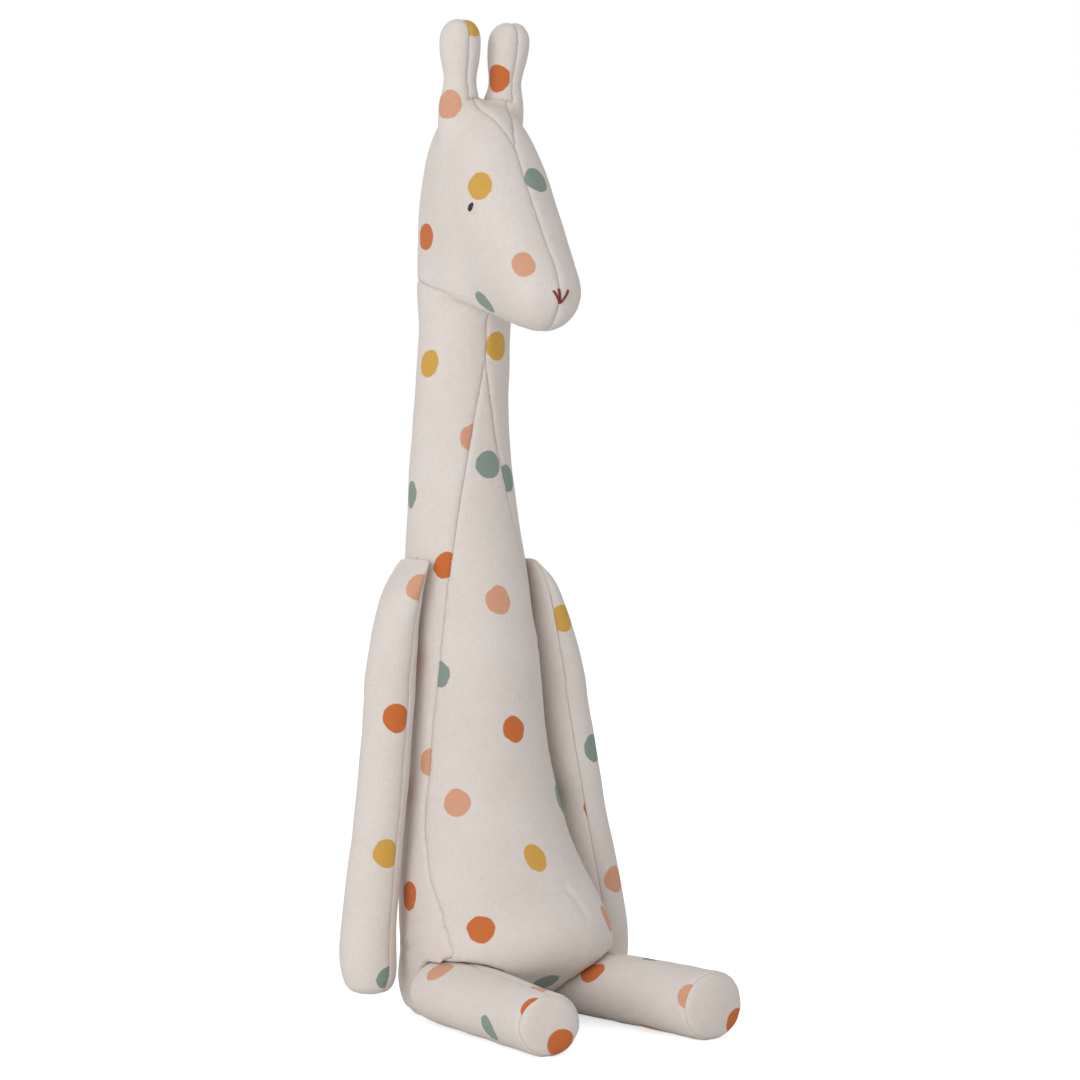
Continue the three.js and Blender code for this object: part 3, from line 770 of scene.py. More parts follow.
def panel_piece(name, skin, faces):
    all_points, all_normals = points_of(skin), normals_of(skin)
    used = sorted({corner for face in faces for corner in face})
    place = {old: new for new, old in enumerate(used)}
    mesh = bpy.data.meshes.new(name)
    mesh.from_pydata([tuple(all_points[corner]) for corner in used], [],
                     [[place[corner] for corner in face] for face in faces])
    piece = placed(name, mesh)
    flatten_cloth(piece)
    cloth = bmesh.new()
    cloth.from_mesh(mesh)
    turned_edge(cloth, [Vector(-all_normals[corner]) for corner in used])
    cloth.to_mesh(mesh)
    cloth.free()
    mesh.shade_smooth()
    return piece


# %% [markdown]
# ## Cut from printed cloth
#
# Each panel was flat before it was sewn, cut from one printed cloth, so the print runs straight within a
# panel and breaks at its seams. Blender's unwrap gives that flat shape back. It is scaled to real metres and
# turned so that up on the toy is up on the cloth, and then dots of the print are pinned to points of the toy.

# %% Flat panels
COLUMN_STEP = 45 * MM
DOT_STEP = 78 * MM


def flatten_cloth(piece):
    for other in bpy.context.selected_objects:
        other.select_set(False)
    bpy.context.view_layer.objects.active = piece
    piece.select_set(True)
    piece.data.uv_layers.new(name="cloth")
    bpy.ops.object.mode_set(mode="EDIT")
    bpy.ops.mesh.select_all(action="SELECT")
    bpy.ops.uv.unwrap(method="MINIMUM_STRETCH", iterations=12, margin=0)
    bpy.ops.object.mode_set(mode="OBJECT")
    piece.select_set(False)


def corner_data(piece):
    mesh = piece.data
    flat = np.empty(len(mesh.loops) * 2)
    mesh.uv_layers["cloth"].data.foreach_get("uv", flat)
    owners = np.empty(len(mesh.loops), int)
    mesh.loops.foreach_get("vertex_index", owners)
    return flat.reshape(-1, 2), owners


def area_on_cloth(uv, loops):
    corners = uv[loops]
    after = np.roll(corners, -1, axis=0)
    return 0.5 * float(np.sum(corners[:, 0] * after[:, 1] - corners[:, 1] * after[:, 0]))


def lattice_place(column, row):
    return (column * COLUMN_STEP, -(row + 0.5 * (round(column) % 2)) * DOT_STEP)


# Each pin puts one dot (column, row) of the print on a point of the toy. One pin turns the cloth so that up
# on the toy is up on the cloth, give or take some degrees. More pins turn it to fit them all, and what is
# left over is cloth that the filling stretched: it fades with the distance from the pin.
STRETCH_REACH = 55 * MM
STRETCH_EASE = 0.12


def cut_from_cloth(piece, up, pins):
    uv, owners = corner_data(piece)
    mesh = piece.data
    flat_area = sum(area_on_cloth(uv, list(face.loop_indices)) for face in mesh.polygons)
    real_area = sum(face.area for face in mesh.polygons)
    if flat_area < 0:
        uv[:, 0] *= -1
    uv *= math.sqrt(real_area / abs(flat_area))
    places = points_of(piece)[owners]
    near = [int(np.argmin(np.linalg.norm(places - np.array(point), axis=1))) for point, _, _ in pins]
    dots = np.array([lattice_place(column, row) for _, column, row in pins])
    if len(pins) == 1:
        flat = np.column_stack([uv, np.ones(len(uv))])
        fit = np.linalg.lstsq(flat, places @ np.array(up, float), rcond=None)[0]
        angle = math.atan2(fit[0], fit[1])
    else:
        on_cloth = (uv[near] - uv[near].mean(axis=0)) @ np.array([1, 1j])
        on_print = (dots - dots.mean(axis=0)) @ np.array([1, 1j])
        angle = float(np.angle(np.sum(on_print * np.conj(on_cloth))))
    cos, sin = math.cos(angle), math.sin(angle)
    uv = uv @ np.array([[cos, sin], [-sin, cos]])
    uv += (dots - uv[near]).mean(axis=0)
    pulls = dots - uv[near]
    reach = lambda a, b: np.exp(-((a[:, None] - b[None]) ** 2).sum(axis=2) / (2 * STRETCH_REACH**2))
    weights = np.linalg.solve(reach(uv[near], uv[near]) + STRETCH_EASE * np.eye(len(near)), pulls)
    uv = uv + reach(uv, uv[near]) @ weights
    mesh.uv_layers["cloth"].data.foreach_set("uv", uv.ravel())
    print(piece.name, "cloth area", round(real_area * 1e4), "cm2")


# %% [markdown]
# ## Folds that stay in the filled cloth
#
# Where the toy bends at the hips, the waist and the neck, its cloth keeps shallow folds. Each one here is a
# soft groove pressed along a route over the skin, with a low ridge on either side that fades at both ends.

# %% Folds
# Each fold is a route in millimetres, its depth and its reach to either side.
TORSO_FOLDS = [
    ([(-50, 43, 34), (-54, 30, 38), (-56, 18, 42), (-56, 4, 47)], 1.1, 2.2),
    ([(-55, -2, 53), (-53, -9, 56), (-48, -20, 60), (-38, -31, 63), (-24, -38, 63)], 0.8, 2.4),
    ([(-20, -32, 72), (0, -34, 75), (19, -34, 73)], 0.6, 2.4),
    ([(13, -28, 79), (18, -37, 69), (21, -48, 56)], 0.6, 2.6),
    ([(-33, 22, 180), (-27, 15, 176), (-18, 10, 175), (-9, 7, 177)], 0.5, 2.6),
    ([(-25, 66, 386), (-25, 52, 390), (-21, 40, 391), (-13, 33, 389)], 0.5, 2.4),
]
FOLD_RIDGE = 0.3
FOLD_RIDGE_PLACE = 2.2


def press_fold(piece, route, depth, reach):
    points, normals = points_of(piece), normals_of(piece)
    route = np.array(route) * MM
    nearest = np.full(len(points), 1.0)
    along = np.zeros(len(points))
    for number, (start, stop) in enumerate(zip(route, route[1:])):
        share = np.clip((points - start) @ (stop - start) / ((stop - start) @ (stop - start)), 0, 1)
        away = np.linalg.norm(points - start - share[:, None] * (stop - start), axis=1)
        closer = away < nearest
        nearest[closer] = away[closer]
        along[closer] = (number + share[closer]) / (len(route) - 1)
    away = nearest / (reach * MM)
    dip = FOLD_RIDGE * np.exp(-((away - FOLD_RIDGE_PLACE) ** 2)) - np.exp(-(away ** 2))
    move = depth * MM * dip * np.sqrt(np.sin(math.pi * along).clip(0))
    set_points(piece, points + normals * move[:, None])


# %% [markdown]
# ## The torso, stuffed and sewn
#
# First the filling, then one round of subdivision for fine faces, then the folds, then the seams. Each seam
# is cut only where it runs on the toy.

# %% Stuff and cut the torso
TORSO_SWELL = 2.2 * MM
stuff(torso, near_seams, TORSO_SWELL)
finer(torso)
for route, depth, reach in TORSO_FOLDS:
    press_fold(torso, route, depth, reach)


NECK_LOW = 300 * MM
MIDDLE_REACH = 6 * MM


def on_neck(points):
    return points[:, 2] > NECK_LOW


def along_middle(points):
    near = np.abs(points[:, 0]) < MIDDLE_REACH
    crown = points[:, 2] > CROWN_LOW
    below = ~on_belly(points) & (seat_field(points) > 0) & near & ~crown
    return below | crown & (crown_field(points) > -1 * MM)


def above_seat(points):
    return on_belly(points) & (seat_field(points) > 0)


cut_skin(
    torso, (seat_field, everywhere), (jaw_field, on_neck), (middle_field, along_middle),
    (gusset_field, above_seat), (crown_field, on_crown), (horn_base_field, inside_horns),
    (horn_middle_field, on_horns),
)
panel_numbers = sew(torso, torso_panel, seed=3.0)
torso_faces = [tuple(face.vertices) for face in torso.data.polygons]
torso_tree = BVHTree.FromPolygons([vert.co for vert in torso.data.vertices], torso_faces)
print("torso skin", len(torso_faces), "faces")

# %% Panels of the torso
# Each pin holds a point of the toy in metres, then the column and the row of the print that lie there.
PRINT_ON_TORSO = {
    "body_side_right": [
        ((-0.026, 0.051, 0.367), 1, 0), ((-0.01, 0.034, 0.328), 2, 1), ((-0.031, 0.062, 0.291), 1, 1),
        ((-0.025, 0.031, 0.255), 2, 2), ((-0.042, 0.012, 0.146), 3, 3),
    ],
    "body_side_left": [
        ((0.006, 0.03, 0.378), 0, -2), ((0.017, 0.034, 0.302), 0, -1), ((0.055, 0.003, 0.056), 1, 2),
    ],
    "belly_gusset": [
        ((0.002, 0.03, 0.311), 2, 0), ((-0.002, 0.015, 0.234), 2, 1), ((0.004, 0.005, 0.162), 2, 2),
        ((0.002, -0.021, 0.091), 2, 3), ((0, -0.034, 0.023), 2, 4), ((-0.033, 0.026, 0.192), 1, 1),
        ((-0.031, 0.007, 0.121), 1, 2), ((-0.041, -0.034, 0.056), 1, 3),
    ],
    "seat_panel": [((0, 0.03, 0), 0, 0)],
    "head_side_right": [
        ((-0.025, 0.03, 0.513), -1, 1), ((-0.023, -0.003, 0.464), 0, 2), ((-0.026, 0.057, 0.44), -1, 2),
        ((-0.018, -0.038, 0.42), 1, 2), ((-0.017, -0.001, 0.402), 0, 3),
    ],
    "head_side_left": [
        ((0.006, -0.014, 0.468), 0, 3), ((0.024, 0.03, 0.513), 0.7, 1.85), ((0.014, -0.045, 0.403), -0.34, 4),
    ],
    "crown_gusset": [((0, 0.033, 0.515), 0.5, 0.25)],
    "horn_right_inner": [((-0.015, 0.022, 0.557), 0, 2)],
    "horn_left_inner": [((0.007, 0.029, 0.53), 0, 1)],
}
UP = (0, 0, 1)
BACK = (0, 1, 0)
FILLINGS = {
    "belly_gusset": ["body_stuffing", "pellet_bag"],
    "head_side_right": ["head_stuffing"],
    "horn_right_inner": ["horn_right_stuffing"],
    "horn_left_inner": ["horn_left_stuffing"],
}
linen_pieces = []


def dress(piece, body, *nodes, bend=None):
    if bend is None:
        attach(piece, body)
    else:
        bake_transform(piece)
    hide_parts(*nodes)
    linen_pieces.append(piece)


def panel_from(piece, name, numbers, number, up, pins):
    faces = [tuple(face.vertices) for face, own in zip(piece.data.polygons, numbers) if own == number]
    panel = panel_piece(name + "_cover", piece, faces)
    cut_from_cloth(panel, up, pins)
    return panel


for number, name in enumerate(TORSO_PANELS):
    up = BACK if name in ("seat_panel", "crown_gusset") else UP
    panel = panel_from(torso, name, panel_numbers, number, up, PRINT_ON_TORSO[name])
    dress(panel, "torso", name, *FILLINGS.get(name, []))
drop(torso)

# %% [markdown]
# ## Arms
#
# Each arm is two long pieces sewn together down its front and back. It is flat where its top is stitched to
# the side of the body, and it hangs a little away from the body, swelling towards the hand.

# %% Arm forms
SHOULDER_HEIGHT = 255 * MM
SHOULDER_Y = NECK_MIDDLE - 5 * MM
SHOULDER_HALF_SEAM = 17.5 * MM
SHOULDER_HALF_THICKNESS = 2.6 * MM
ARM_HALF_THICKNESS = 14.6 * MM
ARM_HALF_WIDTH = 15.2 * MM
ARM_LENGTH = 240 * MM
ARM_SPLAY = 6 * MM
ARM_FORWARD = 22 * MM
ARM_CURVE = 0.75
SHOULDER_TUCK = 2.2 * MM
TUCK_END = 0.06
LIMB_STEP = 3.4 * MM
LIMB_SEAM = 0.55
ARM_SEAM_INWARD = 0.35
SHOULDER_SHARES = [[-0.85, 0, 0], [-0.5, 0.8, 0], [0, 1, 0]]
ARM_SHARES = [
    [0.04, 0.8, 0.3], [0.09, 0.5, 0.57], [0.18, 0.18, 0.83], [0.28, 0.04, 0.97], [0.35, 0, 0.98], [0.6, 0, 1],
    [0.8, 0, 1.05], [0.9, 0, 1.09], [0.965, 0, 1], [0.993, 0, 0.7], [1, 0, 0],
]


def arm_rows(side):
    rows, outward = [], 0.0
    shares = [[rise * SHOULDER_HALF_THICKNESS / ARM_LENGTH, seam, arm] for rise, seam, arm in SHOULDER_SHARES]
    for share, seam, arm in shares + ARM_SHARES:
        height = SHOULDER_HEIGHT - share * ARM_LENGTH
        y = SHOULDER_Y - max(share, 0) ** ARM_CURVE * ARM_FORWARD
        thickness = seam * SHOULDER_HALF_THICKNESS + arm * ARM_HALF_THICKNESS
        width = seam * SHOULDER_HALF_SEAM + arm * ARM_HALF_WIDTH
        side_of_body = body_half_width_at(min(height, SHOULDER_HEIGHT), y)
        ease = LIMB_CLEARANCE - SHOULDER_TUCK * max(1 - max(share, 0) / TUCK_END, 0)
        out = side_of_body + ease + max(share, 0) * ARM_SPLAY + max(thickness, SHOULDER_HALF_THICKNESS)
        outward = max(outward, out)
        rows.append([side * outward, y, height, thickness, 0, 0, 0, width, 0, 1])
    return rows


# %% Print on the arms
PRINT_ON_ARMS = {
    "arm_right_outer": [
        ((-0.044, 0.03, 0.241), 0, 0), ((-0.061, 0.025, 0.168), 0, 1), ((-0.07, 0.019, 0.094), 0, 2),
    ],
    "arm_right_inner": [((-0.042, 0.04, 0.2), 0, 0)],
    "arm_left_outer": [
        ((0.05, 0.03, 0.222), 0, 2), ((0.069, 0.026, 0.147), 0, 3), ((0.079, 0.018, 0.07), 0, 4),
    ],
    "arm_left_inner": [((0.042, 0.053, 0.222), 0, 2)],
}


# %% Limb covers
LIMB_SWELL = 1.2 * MM
LIMB_HELD_REACH = 2.5 * MM
ARM_SEED = 7.0
SHOULDER_BEND = [(0.037, 0.044, 0.262), (0.037, 0.044, 0.246)]


def stuffed_limb(name, rows, split):
    limb = lofted(name, rows, LIMB_STEP)
    stuff(limb, lambda points: np.where(np.abs(split(points)) < LIMB_HELD_REACH, 0.6, 0.08), LIMB_SWELL)
    finer(limb)
    return limb


for side_name, side in SIDES.items():
    rows = arm_rows(side)
    row_heights = [row[2] for row in rows][::-1]
    row_places = [row[0] - side * ARM_SEAM_INWARD * row[3] for row in rows][::-1]

    def arm_split(points):
        return (points[:, 0] - np.interp(points[:, 2], row_heights, row_places)) * side

    arm = stuffed_limb("arm_" + side_name, rows, arm_split)
    cut_skin(arm, (arm_split, everywhere))
    outer = sew(arm, lambda points: arm_split(points) > 0, seed=ARM_SEED + side, tight=LIMB_SEAM)
    bend = [(side * x, y, z) for x, y, z in SHOULDER_BEND]
    for part, wanted in (("outer", True), ("inner", False)):
        name = "arm_" + side_name + "_" + part
        panel = panel_from(arm, name, outer, wanted, UP, PRINT_ON_ARMS[name])
        filling = ["arm_" + side_name + "_stuffing"] if wanted else []
        dress(panel, "arm_" + side_name, name, *filling, bend=bend)
    drop(arm)

# %% [markdown]
# ## Legs and soles
#
# Each leg cover is an outer and an inner half, seamed along its top and its underside, and closed with a
# round sole that the filling pushes out a little.

# %% Leg covers
PRINT_ON_LEGS = {
    "leg_right_outer": [
        ((-0.057, -0.018, 0.032), 0, 0), ((-0.067, -0.09, 0.012), 0, -1), ((-0.063, -0.122, 0.025), -1, -2),
    ],
    "leg_right_inner": [((-0.04, 0.011, 0.027), 0, 0), ((-0.05, -0.11, 0.033), -1, 1)],
    "sole_right": [((-0.047, -0.128, 0.007), 0, 1)],
    "leg_left_inner": [
        ((0.025, -0.044, 0.027), 1, 3), ((0.034, -0.122, 0.024), 1, 2.08), ((0.038, -0.084, 0.002), 2, 3),
    ],
    "leg_left_outer": [((0.052, -0.067, 0.034), 0, 3)],
    "sole_left": [((0.066, -0.124, 0.009), 0, 1)],
}

LEG_SEED = 11.0
HIP_BEND = [8 * MM, -34 * MM]

for side_name, side in SIDES.items():
    cos, sin = math.cos(side * LEG_SPLAY), math.sin(side * LEG_SPLAY)

    def leg_split(points):
        return (points[:, 0] - side * HIP_X) * cos + (points[:, 1] - HIP_Y) * sin

    def sole_split(points):
        along = (points[:, 0] - side * HIP_X) * sin - (points[:, 1] - HIP_Y) * cos
        return along - SOLE_LINE * LEG_LENGTH

    def leg_panel(points):
        outer = (leg_split(points) * side > 0).astype(int)
        return np.where(sole_split(points) > 0, 2, outer)

    leg = stuffed_limb("leg_" + side_name, leg_rows(side), leg_split)
    cut_skin(leg, (leg_split, everywhere), (sole_split, everywhere))
    numbers = sew(leg, leg_panel, seed=LEG_SEED + side, tight=LIMB_SEAM)
    for number, part in enumerate(("inner", "outer", "sole")):
        sole = part == "sole"
        name = "sole_" + side_name if sole else "leg_" + side_name + "_" + part
        panel = panel_from(leg, name, numbers, number, UP if sole else BACK, PRINT_ON_LEGS[name])
        filling = ["leg_" + side_name + "_stuffing"] if part == "outer" else []
        bend = None if sole else [(side * HIP_X, y, HIP_Z) for y in HIP_BEND]
        dress(panel, "leg_" + side_name, name, *filling, bend=bend)
    drop(leg)

# %% [markdown]
# ## Thread: eyes and nose
#
# The eyes and the nose are embroidered in satin stitch, a row of strands laid side by side on the cloth. Each
# strand here is a thin tube that follows the skin and dives into it at both ends.

# %% Stitches
STRAND = 0.42 * MM
STRAND_SIDES = 8
STRAND_STEPS = 12


def strand_tube(cloth, points, normals):
    rings = []
    for index, (point, normal) in enumerate(zip(points, normals)):
        ahead = points[min(index + 1, len(points) - 1)] - points[max(index - 1, 0)]
        across = ahead.normalized().cross(normal).normalized()
        ring = []
        for corner in range(STRAND_SIDES):
            angle = corner * 2 * math.pi / STRAND_SIDES
            out = math.cos(angle) * across + math.sin(angle) * normal
            ring.append(cloth.verts.new(point + STRAND * out))
        rings.append(ring)
    for low, high in zip(rings, rings[1:]):
        for corner in range(STRAND_SIDES):
            after = (corner + 1) % STRAND_SIDES
            cloth.faces.new((low[corner], low[after], high[after], high[corner]))
    cloth.faces.new(rings[0])
    cloth.faces.new(list(reversed(rings[-1])))


# Each strand rides a radius above the skin and dives under it at its ends.
def stitches(name, strands, direction):
    cloth = bmesh.new()
    for start, end in strands:
        start, end = Vector(start), Vector(end)
        points, normals = [], []
        for step in range(STRAND_STEPS + 1):
            share = step / STRAND_STEPS
            hit, normal, _, _ = torso_tree.ray_cast(start.lerp(end, share), Vector(direction))
            lift = STRAND * (1.0 - 2.4 * (2 * share - 1) ** 8)
            points.append(hit + normal * lift)
            normals.append(normal)
        strand_tube(cloth, points, normals)
    bmesh.ops.recalc_face_normals(cloth, faces=cloth.faces)
    mesh = bpy.data.meshes.new(name)
    cloth.to_mesh(mesh)
    cloth.free()
    mesh.shade_smooth()
    return placed(name, mesh)


EYE_Y = NECK_MIDDLE - 54 * MM
EYE_Z = THROAT_HEIGHT + 69.5 * MM
EYE_HALF_WIDTH = 1.7 * MM
EYE_HALF_HEIGHT = 2.6 * MM
EYE_STRANDS = 6
EYE_LEAN = 0.35
# The strands are cast onto the skin from this far away.
AWAY = 0.1
eyes = []
for side_name, side in SIDES.items():
    strands = []
    for number in range(EYE_STRANDS):
        across = (2 * (number + 0.5) / EYE_STRANDS - 1) * EYE_HALF_WIDTH
        reach = EYE_HALF_HEIGHT * math.sqrt(1 - (across / EYE_HALF_WIDTH) ** 2 * 0.85)
        lean = EYE_LEAN * reach
        top = (side * AWAY, EYE_Y + across - lean, EYE_Z + reach)
        strands.append((top, (side * AWAY, EYE_Y + across + lean, EYE_Z - reach)))
    eye = stitches("eye_" + side_name + "_stitches", strands, (-side, 0, 0))
    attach(eye, "torso")
    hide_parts("eye_" + side_name)
    eyes.append(eye)

# The nose fans out from its lowest point in three pairs of strands, whose ends are in millimetres from it.
NOSE_Z = THROAT_HEIGHT + 14 * MM
NOSE_ENDS = [(-4.7, 7.6), (-1.6, 8.8), (5.3, 8.4)]
NOSE_PAIR = 0.35
strands = []
for across, up in NOSE_ENDS:
    for shift in (-NOSE_PAIR, NOSE_PAIR):
        end = ((across + shift) * MM, -AWAY, NOSE_Z + up * MM)
        strands.append((((shift * 0.6) * MM, -AWAY, NOSE_Z), end))
nose = stitches("nose_thread", strands, (0, 1, 0))
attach(nose, "torso")
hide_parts("nose_stitches")
print("stitched two eyes and a nose")

# %% [markdown]
# ## Linen with printed dots
#
# The cloth is off-white linen. Its threads run along the two directions of the flat panel, so the weave is
# made from the cloth coordinate. The print is a half-drop lattice of dots in four colours. The shader finds
# the nearest place of the lattice, measures the distance to it and picks the colour by column and row.

# %% Node helpers
def linear(colour):
    shares = [part / 255 for part in colour]
    return [part / 12.92 if part <= 0.04045 else ((part + 0.055) / 1.055) ** 2.4 for part in shares] + [1.0]


class Nodes:
    def __init__(self, owner):
        owner.use_nodes = True
        self.owner = owner
        self.tree = owner.node_tree
        self.tree.nodes.clear()

    def node(self, kind, inputs=(), **settings):
        made = self.tree.nodes.new(kind)
        for key, value in settings.items():
            setattr(made, key, value)
        for socket, value in dict(inputs).items():
            if isinstance(value, bpy.types.NodeSocket):
                self.tree.links.new(value, made.inputs[socket])
            else:
                made.inputs[socket].default_value = value
        return made

    def math(self, operation, *values):
        return self.node("ShaderNodeMath", dict(enumerate(values)), operation=operation).outputs[0]

    def noise(self, place, scale, detail, output="Fac"):
        made = self.node("ShaderNodeTexNoise", {"Vector": place, "Scale": scale, "Detail": detail})
        return made.outputs[output]

    def mix_colour(self, factor, a, b, blend="MIX"):
        made = self.node("ShaderNodeMix", {0: factor, 6: a, 7: b}, data_type="RGBA", blend_type=blend)
        return made.outputs[2]

    def bump(self, height, distance, strength):
        sizes = {"Height": height, "Distance": distance, "Strength": strength}
        return self.node("ShaderNodeBump", sizes).outputs[0]

    def shown_as(self, shader, kind="ShaderNodeOutputMaterial"):
        self.tree.links.new(shader.outputs[0], self.tree.nodes.new(kind).inputs[0])
        return self.owner


# %% Linen
DOT_RADIUS = 8.3 * MM
DOT_EDGE = 0.25 * MM
DOT_COLOURS = [(218, 161, 130), (206, 108, 44), (214, 166, 70), (135, 153, 143)]
DOT_INK = 0.97
LINEN_WARM = (222, 212, 203)
LINEN_PALE = (230, 222, 217)
FINE_WOBBLE = 1.0 * MM
WIDE_WOBBLE = 2.6 * MM
THREAD_STEP = 0.62 * MM


# The distance from each place of the cloth to the nearest dot of one half of the lattice, and its colour.
def half_lattice(build, moved, offset):
    u = build.math("SUBTRACT", moved[0], offset * COLUMN_STEP)
    v = build.math("ADD", moved[1], offset * DOT_STEP / 2)
    column = build.math("FLOOR", build.math("MULTIPLY_ADD", u, 1 / (2 * COLUMN_STEP), 0.5))
    row = build.math("FLOOR", build.math("MULTIPLY_ADD", v, 1 / DOT_STEP, 0.5))
    across = build.math("MULTIPLY_ADD", column, -2 * COLUMN_STEP, u)
    along = build.math("MULTIPLY_ADD", row, -DOT_STEP, v)
    squares = build.math("ADD", build.math("MULTIPLY", across, across), build.math("MULTIPLY", along, along))
    order = build.math("SUBTRACT", build.math("MULTIPLY", row, -1.0), column)
    turn = build.math("FLOORED_MODULO", build.math("ADD", order, 2.0 * offset), 4.0)
    return build.math("SQRT", squares), turn


def linen_material():
    build = Nodes(bpy.data.materials.new("dotted_linen"))
    place = build.node("ShaderNodeUVMap", uv_map="cloth").outputs[0]
    parts = build.node("ShaderNodeSeparateXYZ", {0: place})
    soft = build.node("ShaderNodeSeparateColor", {0: build.noise(place, 260.0, 2.0, "Color")})
    big = build.node("ShaderNodeSeparateColor", {0: build.noise(place, 90.0, 1.0, "Color")})
    moved = []
    for axis in range(2):
        fine = build.math("MULTIPLY", build.math("SUBTRACT", soft.outputs[axis], 0.5), FINE_WOBBLE)
        coarse = build.math("MULTIPLY", build.math("SUBTRACT", big.outputs[axis], 0.5), WIDE_WOBBLE)
        moved.append(build.math("ADD", parts.outputs[axis], build.math("ADD", fine, coarse)))
    (away_even, turn_even), (away_odd, turn_odd) = (half_lattice(build, moved, offset) for offset in (0, 1))
    nearer = build.math("LESS_THAN", away_even, away_odd)
    away = build.math("MINIMUM", away_even, away_odd)
    picked = build.math("MULTIPLY_ADD", nearer, build.math("SUBTRACT", turn_even, turn_odd), turn_odd)
    ramp = build.node("ShaderNodeValToRGB", {0: build.math("MULTIPLY_ADD", picked, 0.25, 0.125)})
    ramp.color_ramp.interpolation = "CONSTANT"
    while len(ramp.color_ramp.elements) < len(DOT_COLOURS):
        ramp.color_ramp.elements.new(0.5)
    for number, element in enumerate(ramp.color_ramp.elements):
        element.position = number / len(DOT_COLOURS)
        element.color = linear(DOT_COLOURS[number])
    edge = {0: away, 1: DOT_RADIUS + DOT_EDGE, 2: DOT_RADIUS - DOT_EDGE, 3: 0.0, 4: 1.0}
    printed = build.node("ShaderNodeMapRange", edge).outputs[0]
    slubs = []
    for scale in ((150, 1900, 1), (1900, 150, 1)):
        stretched = build.node("ShaderNodeMapping", {0: place, 3: scale}).outputs[0]
        slubs.append(build.noise(stretched, 1.0, 2.0))
    grain = build.math("ADD", *slubs)
    tone = build.node("ShaderNodeMapRange", {0: grain, 1: 0.7, 2: 1.3, 3: 0.92, 4: 1.05}).outputs[0]
    grey = build.node("ShaderNodeCombineColor", {0: tone, 1: tone, 2: tone}).outputs[0]
    cloth = build.mix_colour(build.noise(place, 25.0, 2.0), linear(LINEN_WARM), linear(LINEN_PALE))
    ink = build.mix_colour(build.math("MULTIPLY", printed, DOT_INK), cloth, ramp.outputs[0])
    shaded = build.mix_colour(1.0, ink, grey, "MULTIPLY")
    waves = []
    for axis in range(2):
        turns = build.math("MULTIPLY", parts.outputs[axis], 2 * math.pi / THREAD_STEP)
        waves.append(build.math("SINE", build.math("MULTIPLY_ADD", soft.outputs[axis], 0.5, turns)))
    weave = build.math("MULTIPLY_ADD", build.math("MULTIPLY", *waves), 0.25, grain)
    return build.shown_as(build.node("ShaderNodeBsdfPrincipled", {
        "Base Color": shaded, "Roughness": 0.92, "Normal": build.bump(weave, 0.25 * MM, 0.5),
        "Sheen Weight": 0.12, "Sheen Roughness": 0.5, "Specular IOR Level": 0.2,
    }))


def thread_material(name, colour):
    build = Nodes(bpy.data.materials.new(name))
    fibre = build.noise(build.node("ShaderNodeTexCoord").outputs["Object"], 2500.0, 3.0)
    shade = build.mix_colour(fibre, linear([part * 0.55 for part in colour]), linear(colour))
    return build.shown_as(build.node("ShaderNodeBsdfPrincipled", {
        "Base Color": shade, "Roughness": 0.5, "Sheen Weight": 0.2,
        "Normal": build.bump(fibre, 0.1 * MM, 0.6),
    }))


def give(piece, material):
    piece.data.materials.clear()
    piece.data.materials.append(material)


dotted_linen = linen_material()
for piece in linen_pieces:
    give(piece, dotted_linen)
black_thread = thread_material("black_thread", (28, 24, 24))
for eye in eyes:
    give(eye, black_thread)
give(nose, thread_material("red_thread", (150, 36, 30)))

# %% [markdown]
# ## Studio
#
# The floor and the backdrop are one pale sheet that shows as white to the camera. The main light is a large
# soft lamp at the toy's right front, so its left side falls into shade. The camera is the photograph's.

# %% Floor
FLOOR_HALF = 6
FLOOR_GREY = 0.86
FLOOR_GLOW = 0.62
WHITE = (1, 1, 1, 1)
corners = [(x * FLOOR_HALF, y * FLOOR_HALF, 0) for x, y in ((-1, -1), (1, -1), (1, 1), (-1, 1))]
floor_mesh = bpy.data.meshes.new("floor")
floor_mesh.from_pydata(corners, [], [(0, 1, 2, 3)])
floor = placed("floor", floor_mesh)
sheet = Nodes(bpy.data.materials.new("white_floor"))
paint = sheet.node("ShaderNodeBsdfDiffuse", {"Color": (FLOOR_GREY, FLOOR_GREY, FLOOR_GREY, 1)}).outputs[0]
glow = sheet.node("ShaderNodeEmission", {"Color": WHITE, "Strength": FLOOR_GLOW}).outputs[0]
both = sheet.node("ShaderNodeAddShader", {0: paint, 1: glow}).outputs[0]
seen = sheet.node("ShaderNodeLightPath").outputs["Is Camera Ray"]
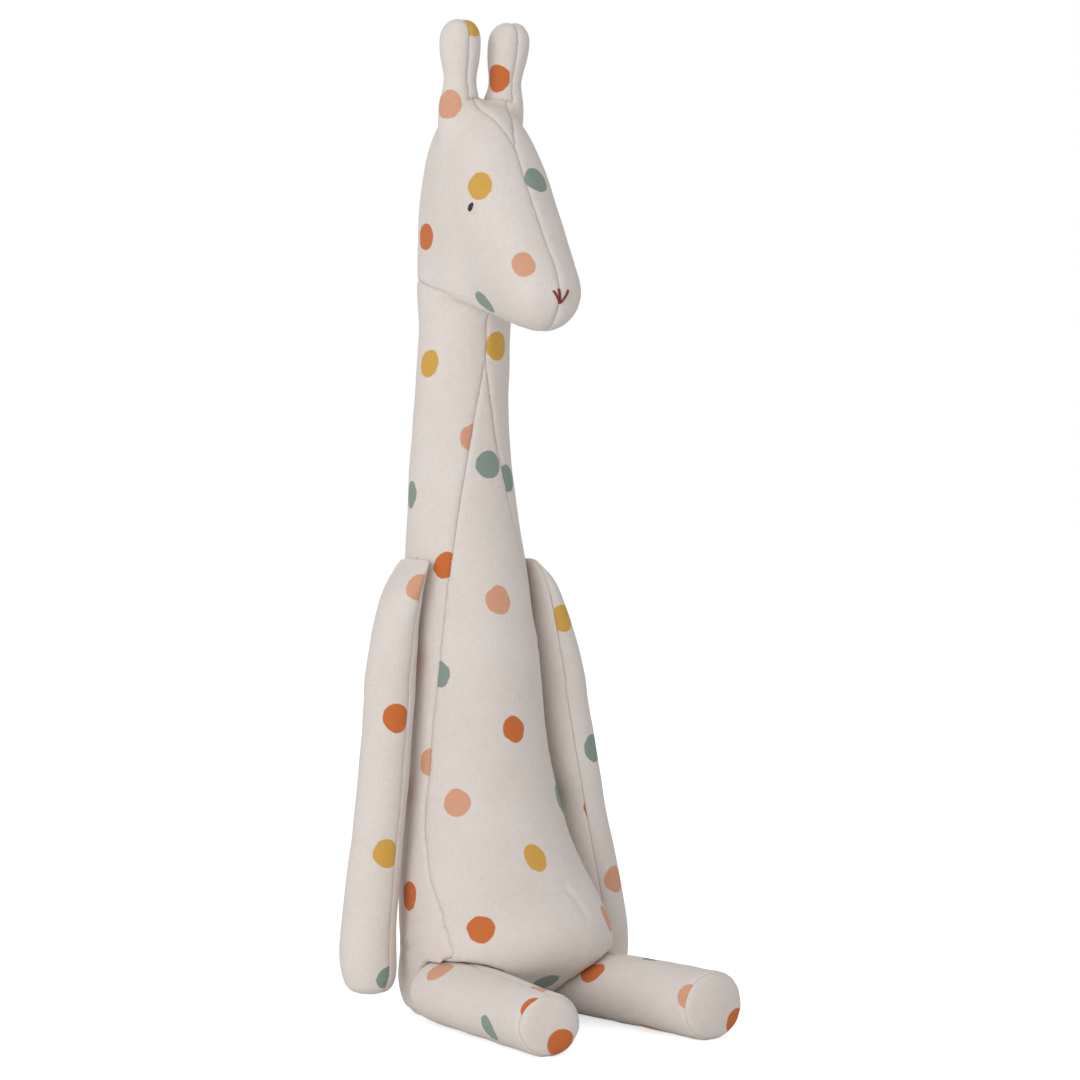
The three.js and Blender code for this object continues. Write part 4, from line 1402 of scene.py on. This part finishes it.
give(floor, sheet.shown_as(sheet.node("ShaderNodeMixShader", {0: seen, 1: paint, 2: both})))

# %% Light
FILL_LIGHT = 0.62
LAMP_SIZE = 1.6
LAMP_ENERGY = 23
LAMP_PLACE = (-2.1, -1.2, 0.8)
LAMP_TARGET = (0, 0, 0.15)
world = bpy.data.worlds.new("studio")
bpy.context.scene.world = world
sky = Nodes(world)
fill_light = sky.node("ShaderNodeBackground", {0: WHITE, 1: FILL_LIGHT}).outputs[0]
backdrop = sky.node("ShaderNodeBackground", {0: WHITE, 1: 1.0}).outputs[0]
seen = sky.node("ShaderNodeLightPath").outputs["Is Camera Ray"]
sky.shown_as(sky.node("ShaderNodeMixShader", {0: seen, 1: fill_light, 2: backdrop}), "ShaderNodeOutputWorld")


def aimed(name, data, place, target):
    piece = placed(name, data)
    piece.location = place
    piece.rotation_euler = (Vector(target) - Vector(place)).to_track_quat("-Z", "Y").to_euler()
    return piece


lamp = bpy.data.lights.new("softbox", "AREA")
lamp.shape = "DISK"
lamp.size = LAMP_SIZE
lamp.energy = LAMP_ENERGY
aimed("softbox", lamp, LAMP_PLACE, LAMP_TARGET)

# %% Camera
VIEW_TURN = math.radians(-31)
FOCAL_PIXELS = 3387
PICTURE_PIXELS = 1080
CAMERA_AWAY = 1.9
CAMERA_ASIDE = 0.015
CAMERA_HEIGHT = 0.308
CAMERA_DROP = 0.04
aside = Vector((math.cos(VIEW_TURN), math.sin(VIEW_TURN), 0)) * CAMERA_ASIDE
back = Vector((math.sin(VIEW_TURN), -math.cos(VIEW_TURN), 0)) * CAMERA_AWAY
camera = bpy.data.cameras.new("photograph")
camera.sensor_width = 36
camera.lens = FOCAL_PIXELS / PICTURE_PIXELS * camera.sensor_width
camera_place = back + aside + Vector((0, 0, CAMERA_HEIGHT))
camera_target = aside + Vector((0, 0, CAMERA_HEIGHT - CAMERA_DROP))
bpy.context.scene.camera = aimed("photograph", camera, camera_place, camera_target)
bpy.context.scene.view_settings.view_transform = "Standard"
